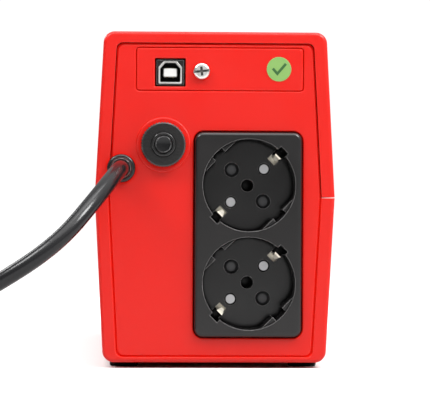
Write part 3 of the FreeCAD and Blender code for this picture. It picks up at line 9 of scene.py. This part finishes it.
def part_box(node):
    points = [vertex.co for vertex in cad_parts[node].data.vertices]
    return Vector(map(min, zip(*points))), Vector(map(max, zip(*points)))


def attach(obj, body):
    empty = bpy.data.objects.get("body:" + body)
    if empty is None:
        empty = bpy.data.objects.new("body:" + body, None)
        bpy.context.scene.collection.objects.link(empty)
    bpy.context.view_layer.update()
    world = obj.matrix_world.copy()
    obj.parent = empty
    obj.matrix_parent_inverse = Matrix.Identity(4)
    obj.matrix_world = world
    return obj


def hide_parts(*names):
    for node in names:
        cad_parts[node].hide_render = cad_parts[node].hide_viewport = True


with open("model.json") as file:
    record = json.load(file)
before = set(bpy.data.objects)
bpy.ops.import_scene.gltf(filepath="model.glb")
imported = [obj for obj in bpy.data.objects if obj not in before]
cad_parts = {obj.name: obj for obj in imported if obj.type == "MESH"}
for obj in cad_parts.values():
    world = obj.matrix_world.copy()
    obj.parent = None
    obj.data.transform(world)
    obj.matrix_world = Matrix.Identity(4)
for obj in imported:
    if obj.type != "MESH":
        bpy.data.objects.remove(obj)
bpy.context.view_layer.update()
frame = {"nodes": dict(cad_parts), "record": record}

# The rear wall's border is the plane that the camera faces.
rear_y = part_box("base_shell")[0].y
MM = 0.001


# Camera: at the sockets' height, a metre from the rear wall and a little to the cord's side.

camera_place = Vector((-0.0352, rear_y - 1.0, 0.0682))
camera_target = Vector((0.0002, rear_y, 0.0707))
camera_lens = 199.1
camera_roll = math.radians(0.25)


def make_camera():
    data = bpy.data.cameras.new("camera")
    data.lens = camera_lens
    camera = bpy.data.objects.new("camera", data)
    camera.location = camera_place
    facing = (camera_target - camera_place).to_track_quat("-Z", "Y")
    camera.rotation_mode = "QUATERNION"
    camera.rotation_quaternion = facing @ Quaternion((0, 0, 1), camera_roll)
    bpy.context.collection.objects.link(camera)
    bpy.context.scene.camera = camera


# Input cord: out of the strain relief, down to the ground, round its coil and into the plug.
# The route's places are in millimetres.

cord_diameter = 6.8 * MM
cord_start = Vector((-39.4, -138.5, 83.8)) * MM
cord_route_mm = [
    (-39.4, -162.0, 83.8),
    (-43.1, -178.0, 78.8),
    (-51.1, -193.0, 68.4),
    (-60.3, -202.0, 57.2),
    (-71.3, -206.0, 47.9),
    (-84.4, -206.0, 39.4),
    (-99.6, -202.0, 30.4),
    (-115.5, -196.5, 20.6),
    (-131.0, -190.5, 11.9),
    (-146.0, -187.6, 6.4),
]
coil_centre = Vector((-160.0, -142.0, 0.0)) * MM
coil_radius_outer = 44.0 * MM
coil_radius_inner = 30.0 * MM
coil_low_z = 4.2 * MM
coil_high_z = 11.0 * MM
coil_points_per_turn = 16
layer_turns = 2.0
rise_turns = 0.25
tail_mm = [(-204.6, -126.0, 11.4), (-204.0, -112.0, 10.0), (-204.0, -98.0, 10.0)]


def coil_point(turn):
    """A place on the coil after so many turns: a spiral inwards, a rise and a spiral outwards."""
    band = coil_radius_outer - coil_radius_inner
    inwards = min(turn, layer_turns) / layer_turns
    rise = min(max(turn - layer_turns, 0.0), rise_turns) / rise_turns
    outwards = max(turn - layer_turns - rise_turns, 0.0) / layer_turns
    radius = coil_radius_outer - band * (inwards - outwards)
    angle = -math.pi / 2 - 2 * math.pi * turn
    height = coil_low_z + (coil_high_z - coil_low_z) * rise
    return coil_centre + Vector((radius * math.cos(angle), radius * math.sin(angle), height))


def cord_points():
    route = [Vector(point) * MM for point in cord_route_mm]
    steps = round((2 * layer_turns + rise_turns) * coil_points_per_turn)
    coil = [coil_point(step / coil_points_per_turn) for step in range(steps + 1)]
    tail = [Vector(point) * MM for point in tail_mm]
    return [cord_start] + route + coil + tail


def make_cord():
    data = bpy.data.curves.new("input_cord", "CURVE")
    data.dimensions = "3D"
    # Each point's radius is the cord's own, so the bevel is one.
    data.bevel_depth = 1.0
    data.bevel_resolution = 7
    data.use_fill_caps = True
    points = cord_points()
    spline = data.splines.new("NURBS")
    spline.points.add(len(points) - 1)
    for point, place in zip(spline.points, points):
        point.co = (*place, 1.0)
        point.radius = cord_diameter / 2
    spline.order_u = 3
    spline.use_endpoint_u = True
    spline.resolution_u = 8
    spline.use_smooth = True
    cord = bpy.data.objects.new("input_cord", data)
    bpy.context.collection.objects.link(cord)
    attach(cord, "housing")
    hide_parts("cord_lead", "cord_coil", "cord_tail")
    return cord


# Floor, background and lights.

floor_half = 40.0
floor_sent_back = 0.55


def make_floor():
    mesh = bpy.data.meshes.new("floor")
    corners = [(-floor_half, -floor_half, 0), (floor_half, -floor_half, 0),
               (floor_half, floor_half, 0), (-floor_half, floor_half, 0)]
    mesh.from_pydata(corners, [], [(0, 1, 2, 3)])
    floor = bpy.data.objects.new("floor", mesh)
    bpy.context.collection.objects.link(floor)
    floor.data.materials.append(pale_floor())


world_side = 0.24
world_top = 0.9
world_left = 0.5
world_right = 1.5
world_backdrop = 1.05


def make_world():
    """A white backdrop that lights the object softly, brighter from above and from the right."""
    world = bpy.data.worlds.new("studio")
    bpy.context.scene.world = world
    world.use_nodes = True
    nodes, links = world.node_tree.nodes, world.node_tree.links
    nodes.clear()

    def graded(value, start, end, low, high):
        scale = nodes.new("ShaderNodeMapRange")
        for name, number in zip(("From Min", "From Max", "To Min", "To Max"), (start, end, low, high)):
            scale.inputs[name].default_value = number
        links.new(value, scale.inputs["Value"])
        return scale.outputs["Result"]

    def background(strength):
        node = nodes.new("ShaderNodeBackground")
        node.inputs["Color"].default_value = (1, 1, 1, 1)
        node.inputs["Strength"].default_value = strength
        return node

    place = nodes.new("ShaderNodeTexCoord")
    split = nodes.new("ShaderNodeSeparateXYZ")
    links.new(place.outputs["Generated"], split.inputs[0])
    brightness = nodes.new("ShaderNodeMath")
    brightness.operation = "MULTIPLY"
    links.new(graded(split.outputs["Z"], -0.1, 0.9, world_side, world_top), brightness.inputs[0])
    links.new(graded(split.outputs["X"], -0.6, 0.6, world_left, world_right), brightness.inputs[1])
    soft = background(1.0)
    links.new(brightness.outputs[0], soft.inputs["Strength"])
    seen = nodes.new("ShaderNodeLightPath")
    choice = nodes.new("ShaderNodeMixShader")
    links.new(seen.outputs["Is Camera Ray"], choice.inputs[0])
    links.new(soft.outputs[0], choice.inputs[1])
    links.new(background(world_backdrop).outputs[0], choice.inputs[2])
    output = nodes.new("ShaderNodeOutputWorld")
    links.new(choice.outputs[0], output.inputs["Surface"])


light_target = Vector((0.0, rear_y, 0.07))


def make_sun(direction, strength, softness):
    data = bpy.data.lights.new("daylight", "SUN")
    data.energy = strength
    data.angle = math.radians(softness)
    sun = bpy.data.objects.new("daylight", data)
    sun.rotation_mode = "QUATERNION"
    sun.rotation_quaternion = Vector(direction).to_track_quat("-Z", "Y")
    bpy.context.collection.objects.link(sun)


def make_softbox(name, place, width, height, power):
    data = bpy.data.lights.new(name, "AREA")
    data.shape = "RECTANGLE"
    data.size = width
    data.size_y = height
    data.energy = power
    lamp = bpy.data.objects.new(name, data)
    lamp.location = place
    lamp.rotation_mode = "QUATERNION"
    lamp.rotation_quaternion = (light_target - Vector(place)).to_track_quat("-Z", "Y")
    bpy.context.collection.objects.link(lamp)


def make_lights():
    make_sun((-0.05, 0.30, -1.0), 1.7, 60)
    make_softbox("left_softbox", (-0.50, rear_y - 0.38, 0.72), 0.26, 0.26, 3.6)
    make_softbox("right_softbox", (0.50, rear_y - 0.38, 0.70), 0.30, 0.30, 6.0)
    make_softbox("top_softbox", (0.1, rear_y - 0.10, 0.85), 0.6, 0.10, 0.8)
    make_softbox("rim_softbox", (-0.70, rear_y + 0.55, 0.60), 0.35, 0.35, 4.0)


# Materials: every one is a procedural surface in metres, around one shader.

class Surface:
    """A node material that is built up step by step."""

    def __init__(self, name, metallic=0.0, edge_radius=0.3 * MM):
        self.material = bpy.data.materials.new(name)
        self.material.use_nodes = True
        self.tree = self.material.node_tree
        self.shader = self.tree.nodes["Principled BSDF"]
        self.shader.inputs["Metallic"].default_value = metallic
        self.place = self.add("ShaderNodeTexCoord").outputs["Object"]
        self.rounded = self.add("ShaderNodeBevel", {"Radius": edge_radius}, samples=4).outputs["Normal"]
        self.normal = self.rounded

    def add(self, kind, inputs=None, **settings):
        node = self.tree.nodes.new(kind)
        for key, value in settings.items():
            setattr(node, key, value)
        for key, value in (inputs or {}).items():
            self.feed(node.inputs[key], value)
        return node

    def feed(self, socket, value):
        if isinstance(value, bpy.types.NodeSocket):
            self.tree.links.new(value, socket)
        else:
            socket.default_value = value

    def stretched(self, stretch):
        """Coordinates that make a pattern longer along some axes."""
        return self.add("ShaderNodeMapping", {"Vector": self.place, "Scale": stretch}).outputs["Vector"]

    def noise(self, size, detail=3.0, roughness=0.5, stretch=None):
        """Cloudy value between 0 and 1 with features of a given size in metres."""
        place = self.stretched(stretch) if stretch else self.place
        inputs = {"Vector": place, "Scale": 1.0 / size, "Detail": detail, "Roughness": roughness}
        return self.add("ShaderNodeTexNoise", inputs).outputs[0]

    def cells(self, size):
        """Distance to the nearest cell centre, for pebbled and speckled surfaces."""
        inputs = {"Vector": self.place, "Scale": 1.0 / size}
        return self.add("ShaderNodeTexVoronoi", inputs).outputs["Distance"]

    def waves(self, size, direction, distortion=0.0):
        """Parallel bands across one axis, straight or wavy."""
        inputs = {"Vector": self.place, "Scale": 1.0 / size, "Distortion": distortion}
        return self.add("ShaderNodeTexWave", inputs, bands_direction=direction).outputs["Fac"]

    def fit(self, value, start, end, low, high):
        """The value moved smoothly from one range to another and kept inside it."""
        inputs = {"Value": value, "From Min": start, "From Max": end, "To Min": low, "To Max": high}
        return self.add("ShaderNodeMapRange", inputs, interpolation_type="SMOOTHSTEP").outputs["Result"]

    def combine(self, first, second, operation):
        """The result of one arithmetic step."""
        node = self.add("ShaderNodeMath", operation=operation)
        self.feed(node.inputs[0], first)
        self.feed(node.inputs[1], second)
        return node.outputs[0]

    def mix(self, amount, low, high):
        """Colour between two colours."""
        node = self.add("ShaderNodeMix", data_type="RGBA")
        self.feed(node.inputs[0], amount)
        self.feed(node.inputs[6], low if isinstance(low, bpy.types.NodeSocket) else (*low, 1.0))
        self.feed(node.inputs[7], high if isinstance(high, bpy.types.NodeSocket) else (*high, 1.0))
        return node.outputs[2]

    def edges(self):
        """One along sharp edges and zero elsewhere, for polish, pale cut edges, rubbed wear and painted
        edge highlights.
        """
        geometry = self.add("ShaderNodeNewGeometry").outputs["Normal"]
        dot = self.add("ShaderNodeVectorMath", operation="DOT_PRODUCT")
        self.feed(dot.inputs[0], self.rounded)
        self.feed(dot.inputs[1], geometry)
        return self.fit(dot.outputs["Value"], 0.995, 0.85, 0.0, 1.0)

    def hollows(self, reach):
        """One deep inside corners and slots and zero in the open, by ambient occlusion; the finishes use
        it to paint shade there.
        """
        open_share = self.add("ShaderNodeAmbientOcclusion", {"Distance": reach}, samples=8).outputs["AO"]
        return self.fit(open_share, 0.9, 0.5, 0.0, 1.0)

    def bump(self, height, depth, strength=1.0):
        """Relief of a given depth in metres, on top of what is there."""
        inputs = {"Height": height, "Distance": depth, "Strength": strength, "Normal": self.normal}
        self.normal = self.add("ShaderNodeBump", inputs).outputs["Normal"]

    def colour(self, value):
        self.feed(self.shader.inputs["Base Color"], value)

    def gloss(self, value):
        self.feed(self.shader.inputs["Roughness"], value)

    def finish(self):
        self.feed(self.shader.inputs["Normal"], self.normal)
        return self.material


cloud_size = 30 * MM
patch_size = 12 * MM
waviness_size = 40 * MM
waviness_depth = 0.04 * MM
# Reach of the ambient occlusion that paints shade into hollows, and of the finer one that keeps painted
# edge highlights out of inner corners.
painted_shade_reach = 3.0 * MM
inner_corner_reach = 0.8 * MM


def moulded(name, colour, shade, worn_and_glint, gloss, grain, depth, edge_radius=0.3 * MM, painted_hollow_factor=0.35, shine=0.4):
    """Moulded plastic: cloudy pigment, a fine eroded grain, pale edges that are partly rubbed wear and
    partly painted highlight, and painted shade in hollows.
    """
    surface = Surface(name, edge_radius=edge_radius)
    pigment = surface.mix(surface.noise(cloud_size), colour, shade)
    speck = surface.fit(surface.noise(grain, detail=2.0), 0.35, 0.75, 0.0, 0.35)
    pigment = surface.mix(speck, pigment, shade)
    # Painted shade: hollows found by ambient occlusion are tinted towards the shade colour times a
    # factor. Below one this darkens them; above one it is a painted glow. The shine is dimmed there too.
    painted_hollow_colour = tuple(painted_hollow_factor * part for part in shade)
    hollow = surface.hollows(painted_shade_reach)
    pigment = surface.mix(hollow, pigment, painted_hollow_colour)
    shine_here = surface.fit(hollow, 0.0, 1.0, shine, 0.1 * shine)
    surface.feed(surface.shader.inputs["Specular IOR Level"], shine_here)
    # Painted highlight, partly rubbed wear: sharp convex edges, kept out of inner corners, are paled
    # towards the edge colour.
    outward = surface.combine(1.0, surface.hollows(inner_corner_reach), "SUBTRACT")
    edges = surface.combine(surface.edges(), outward, "MULTIPLY")
    wear_and_glint = surface.combine(edges, 0.8, "MULTIPLY")
    surface.colour(surface.mix(wear_and_glint, pigment, worn_and_glint))
    patches = surface.fit(surface.noise(patch_size, detail=2.0), 0.1, 0.9, gloss - 0.05, gloss + 0.06)
    polish = surface.combine(edges, 0.06, "MULTIPLY")
    surface.gloss(surface.combine(patches, polish, "SUBTRACT"))
    surface.bump(surface.noise(grain, detail=2.0), depth)
    surface.bump(surface.noise(waviness_size, detail=1.0), waviness_depth)
    return surface


scratch_size = 0.5 * MM
scratch_depth = 0.004 * MM
smudge_size = 6 * MM
# Brightness of the painted shade in metal hollows, as a share of the shade colour.
hollow_shade_brightness = 0.12


def metal(name, colour, shade, gloss, scratch=(1.0, 12.0, 1.0), edge_radius=0.1 * MM, reach=1.0 * MM):
    """Plated or drawn metal: fine directional scratches, smudges and painted shade in hollows."""
    surface = Surface(name, metallic=1.0, edge_radius=edge_radius)
    lines = surface.noise(scratch_size, detail=4.0, stretch=scratch)
    smudge = surface.noise(smudge_size, detail=4.0)
    # Painted shade: hollows found by ambient occlusion are darkened towards a dim copy of the shade
    # colour.
    hollow_shade = tuple(hollow_shade_brightness * part for part in shade)
    surface.colour(surface.mix(surface.hollows(reach), surface.mix(smudge, colour, shade), hollow_shade))
    rough = surface.fit(smudge, 0.3, 0.7, gloss - 0.05, gloss + 0.08)
    scratched = surface.combine(lines, 0.08, "MULTIPLY")
    surface.gloss(surface.combine(rough, scratched, "ADD"))
    surface.bump(lines, scratch_depth)
    return surface


def pale_floor():
    """Matt paper that sends less light back at the object than it shows."""
    surface = Surface("pale_floor")
    paper = surface.mix(surface.noise(0.4), (0.86, 0.86, 0.855), (0.88, 0.88, 0.875))
    seen = surface.add("ShaderNodeLightPath").outputs["Is Camera Ray"]
    surface.colour(surface.mix(seen, (floor_sent_back,) * 3, paper))
    surface.gloss(0.9)
    surface.shader.inputs["Specular IOR Level"].default_value = 0.0
    surface.normal = surface.add("ShaderNodeNewGeometry").outputs["Normal"]
    return surface.finish()


def red_plastic():
    """Red pigment with subsurface scattering, so a little light passes through the walls of narrow
    grooves; the hollows are also painted brighter, a painted glow.
    """
    # Hollows get a painted glow, a brighter copy of the shade colour; the pale red edge colour is partly
    # a painted highlight.
    surface = moulded("red_plastic", (0.645, 0.0085, 0.0035), (0.60, 0.0068, 0.0025), (0.86, 0.09, 0.06),
                      0.33, 0.45 * MM, 0.006 * MM, 0.3 * MM, painted_hollow_factor=1.3)
    surface.shader.inputs["Subsurface Weight"].default_value = 0.5
    surface.shader.inputs["Subsurface Radius"].default_value = (1.0, 0.12, 0.08)
    surface.shader.inputs["Subsurface Scale"].default_value = 1.5 * MM
    return surface.finish()


def black_plastic():
    # Hollows are painted almost black as painted shade; the grey edge colour is partly a painted
    # highlight.
    surface = moulded("black_plastic", (0.0115, 0.0105, 0.0105), (0.008, 0.0075, 0.0075),
                      (0.50, 0.48, 0.48), 0.21, 0.4 * MM, 0.006 * MM, 0.3 * MM, painted_hollow_factor=0.1, shine=0.5)
    return surface.finish()


def black_gloss():
    # The near-white edge colour is a painted highlight along the rims.
    surface = moulded("black_gloss", (0.006, 0.006, 0.0065), (0.004, 0.004, 0.0045), (0.80, 0.80, 0.80),
                      0.12, 0.8 * MM, 0.002 * MM, 0.45 * MM, shine=0.4)
    return surface.finish()


def breaker_black():
    # The grey edge colour is partly a painted highlight along the rims.
    surface = moulded("breaker_black", (0.013, 0.012, 0.012), (0.006, 0.006, 0.006), (0.32, 0.32, 0.32),
                      0.17, 0.9 * MM, 0.03 * MM, 0.3 * MM, shine=0.6)
    return surface.finish()


def cord_jacket():
    """Extruded jacket: faint lengthwise streaks and a soft shine."""
    surface = moulded("cord_jacket", (0.010, 0.010, 0.011), (0.007, 0.007, 0.008), (0.02, 0.02, 0.021),
                      0.21, 0.35 * MM, 0.004 * MM, 0.25 * MM)
    surface.bump(surface.noise(2.5 * MM, detail=3.0), 0.03 * MM)
    return surface.finish()


def rubber_black():
    surface = moulded("rubber_black", (0.016, 0.016, 0.016), (0.010, 0.010, 0.010), (0.05, 0.05, 0.05),
                      0.72, 0.5 * MM, 0.03 * MM, 0.2 * MM)
    return surface.finish()


def bright_steel():
    # A wide reach, so the painted shade darkens the screw's cross slot.
    return metal("bright_steel", (0.93, 0.92, 0.89), (0.84, 0.83, 0.80), 0.26, reach=2.0 * MM).finish()


def zinc_steel():
    surface = metal("zinc_steel", (0.58, 0.58, 0.57), (0.42, 0.43, 0.44), 0.34)
    surface.bump(surface.cells(2.0 * MM), 0.01 * MM)
    return surface.finish()


def brass_contact():
    """Lacquered contact brass, which scatters more light than bare metal."""
    surface = metal("brass_contact", (1.0, 0.96, 0.86), (0.94, 0.86, 0.68), 0.30, reach=0.3 * MM)
    surface.shader.inputs["Metallic"].default_value = 0.5
    return surface.finish()


def gold_contact():
    return metal("gold_contact", (0.92, 0.70, 0.32), (0.82, 0.58, 0.24), 0.18).finish()


def grey_rivet():
    """Tumbled rivet head, scratched alike in all directions."""
    surface = metal("grey_rivet", (0.62, 0.62, 0.63), (0.48, 0.48, 0.49), 0.36,
                    scratch=(1.0, 1.0, 1.0))
    return surface.finish()


def tin_terminal():
    return metal("tin_terminal", (0.70, 0.69, 0.66), (0.56, 0.56, 0.54), 0.38).finish()


def sink_aluminium():
    """Extruded bar with long die lines."""
    surface = metal("sink_aluminium", (0.64, 0.65, 0.66), (0.52, 0.53, 0.54), 0.40,
                    scratch=(1.0, 0.05, 1.0))
    return surface.finish()


def laminated_steel():
    """Stack of varnished sheets: thin lines across the stack and rusty stains."""
    surface = metal("laminated_steel", (0.17, 0.16, 0.16), (0.10, 0.09, 0.09), 0.5)
    sheets = surface.waves(1.0 * MM, "Y", 0.2)
    stains = surface.fit(surface.noise(8 * MM, detail=6.0), 0.5, 0.8, 0.0, 0.5)
    stack = surface.mix(sheets, (0.08, 0.08, 0.085), (0.2, 0.19, 0.19))
    surface.colour(surface.mix(stains, stack, (0.16, 0.07, 0.03)))
    surface.bump(sheets, 0.1 * MM)
    return surface.finish()


def white_plastic():
    surface = moulded("white_plastic", (0.66, 0.66, 0.645), (0.58, 0.58, 0.565), (0.76, 0.76, 0.75),
                      0.42, 0.4 * MM, 0.006 * MM, 0.15 * MM)
    return surface.finish()


def shutter_grey():
    # Hollows get a milder painted shade than the other plastics.
    surface = moulded("shutter_grey", (0.095, 0.095, 0.098), (0.075, 0.075, 0.078), (0.16, 0.16, 0.16),
                      0.34, 0.4 * MM, 0.006 * MM, 0.2 * MM, painted_hollow_factor=0.8)
    return surface.finish()


def label_green():
    """Coated paper: a faint fibre and a paler cut edge."""
    surface = Surface("label_green", edge_radius=0.15 * MM)
    fibre = surface.noise(0.25 * MM, detail=6.0, roughness=0.7)
    paper = surface.mix(fibre, (0.174, 0.334, 0.082), (0.205, 0.370, 0.100))
    surface.colour(surface.mix(surface.edges(), paper, (0.62, 0.72, 0.40)))
    surface.gloss(surface.fit(surface.noise(3 * MM), 0.3, 0.7, 0.38, 0.52))
    surface.bump(fibre, 0.01 * MM)
    return surface.finish()


def tick_green():
    """Dark printing ink on the label."""
    surface = Surface("tick_green", edge_radius=0.05 * MM)
    patchy = surface.noise(0.3 * MM, detail=4.0, roughness=0.7)
    surface.colour(surface.mix(patchy, (0.015, 0.08, 0.015), (0.03, 0.12, 0.025)))
    surface.gloss(surface.fit(patchy, 0.2, 0.8, 0.4, 0.55))
    surface.bump(patchy, 0.005 * MM)
    return surface.finish()


def lens_clear():
    surface = moulded("lens_clear", (0.70, 0.78, 0.74), (0.60, 0.70, 0.66), (0.85, 0.9, 0.88),
                      0.22, 0.3 * MM, 0.006 * MM, 0.2 * MM)
    surface.shader.inputs["Transmission Weight"].default_value = 0.35
    return surface.finish()


def winding_tape():
    """Overlapping turns of yellow tape."""
    surface = moulded("winding_tape", (0.70, 0.50, 0.07), (0.55, 0.36, 0.04), (0.8, 0.62, 0.2),
                      0.35, 1.0 * MM, 0.01 * MM)
    surface.bump(surface.waves(12 * MM, "Z", 0.5), 0.15 * MM)
    return surface.finish()


def bobbin_black():
    surface = moulded("bobbin_black", (0.03, 0.03, 0.03), (0.02, 0.02, 0.02), (0.08, 0.08, 0.08),
                      0.5, 0.4 * MM, 0.01 * MM)
    return surface.finish()


def battery_grey():
    surface = moulded("battery_grey", (0.07, 0.07, 0.075), (0.05, 0.05, 0.055), (0.14, 0.14, 0.14),
                      0.48, 0.8 * MM, 0.03 * MM)
    return surface.finish()


def circuit_board():
    """Solder mask over copper tracks, which show as paler raised bands."""
    surface = moulded("circuit_board", (0.015, 0.14, 0.05), (0.010, 0.10, 0.035), (0.25, 0.30, 0.12),
                      0.28, 0.8 * MM, 0.004 * MM)
    across = surface.waves(2.6 * MM, "X", 3.0)
    along = surface.waves(3.4 * MM, "Y", 3.0)
    crossing = surface.combine(across, along, "MULTIPLY")
    tracks = surface.fit(crossing, 0.35, 0.45, 0.0, 1.0)
    surface.colour(surface.mix(tracks, (0.012, 0.11, 0.04), (0.03, 0.22, 0.08)))
    surface.bump(tracks, 0.03 * MM)
    return surface.finish()


def component_black():
    surface = moulded("component_black", (0.02, 0.02, 0.021), (0.014, 0.014, 0.015), (0.06, 0.06, 0.06),
                      0.45, 0.3 * MM, 0.008 * MM)
    return surface.finish()


def component_blue():
    surface = moulded("component_blue", (0.03, 0.08, 0.28), (0.02, 0.06, 0.2), (0.1, 0.2, 0.45),
                      0.3, 0.6 * MM, 0.006 * MM)
    return surface.finish()


def wire_red():
    surface = moulded("wire_red", (0.50, 0.02, 0.015), (0.38, 0.014, 0.01), (0.6, 0.06, 0.05),
                      0.4, 0.4 * MM, 0.006 * MM)
    return surface.finish()


def ribbon_grey():
    """Flat cable: one shallow groove between each pair of cores."""
    surface = moulded("ribbon_grey", (0.40, 0.40, 0.41), (0.33, 0.33, 0.34), (0.5, 0.5, 0.5),
                      0.42, 0.5 * MM, 0.006 * MM)
    core_spacing = 1.27 * MM
    surface.bump(surface.waves(2 * core_spacing, "X"), 0.3 * MM)
    return surface.finish()


finishes = [
    red_plastic, black_plastic, black_gloss, breaker_black, cord_jacket, rubber_black,
    bright_steel, zinc_steel, brass_contact, gold_contact, grey_rivet, tin_terminal,
    sink_aluminium, laminated_steel, white_plastic, shutter_grey, label_green, lens_clear,
    winding_tape, bobbin_black, battery_grey, circuit_board, component_black, component_blue,
    wire_red, ribbon_grey,
]


# Printed tick on the round label.

tick_thickness = 0.03 * MM
tick_line = [(-2.6, 0.3), (-0.7, -1.9), (2.9, 2.3)]
tick_half_width = 0.55


def tick_outline():
    """A ribbon round the three points of the tick, with the corner mitred."""
    start, corner, end = [Vector(point) for point in tick_line]
    down = (corner - start).normalized()
    up = (end - corner).normalized()
    side_down, side_up = Vector((-down.y, down.x)), Vector((-up.y, up.x))
    mitre = (side_down + side_up).normalized()
    mitre = mitre / mitre.dot(side_down)
    line = [(start, side_down), (corner, mitre), (end, side_up)]
    upper = [point + side * tick_half_width for point, side in line]
    lower = [point - side * tick_half_width for point, side in reversed(line)]
    return upper + lower


def make_tick(material):
    low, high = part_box("test_label")
    middle_x, middle_z = (low.x + high.x) / 2, (low.z + high.z) / 2
    work = bmesh.new()
    corners = [work.verts.new((middle_x + p.x * MM, low.y, middle_z + p.y * MM)) for p in tick_outline()]
    face = work.faces.new(corners)
    grown = bmesh.ops.extrude_face_region(work, geom=[face])
    moved = [item for item in grown["geom"] if isinstance(item, bmesh.types.BMVert)]
    bmesh.ops.translate(work, verts=moved, vec=(0, -tick_thickness, 0))
    bmesh.ops.recalc_face_normals(work, faces=work.faces)
    mesh = bpy.data.meshes.new("label_tick")
    work.to_mesh(mesh)
    work.free()
    tick = bpy.data.objects.new("label_tick", mesh)
    tick.data.materials.append(material)
    bpy.context.collection.objects.link(tick)
    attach(tick, "housing")


def dress_nodes(materials):
    """Gives every CAD node the finish that the record names for it."""
    for part in frame["record"]["subparts"]:
        piece = frame["nodes"][part["node"]]
        for place in piece.material_slots:
            place.material = materials[part["material_slot"]]


make_camera()
cord = make_cord()
make_floor()
make_world()
make_lights()
materials = {make.__name__: make() for make in finishes}
dress_nodes(materials)
cord.data.materials.append(materials["cord_jacket"])
make_tick(tick_green())
bpy.context.scene.view_settings.view_transform = "Standard"
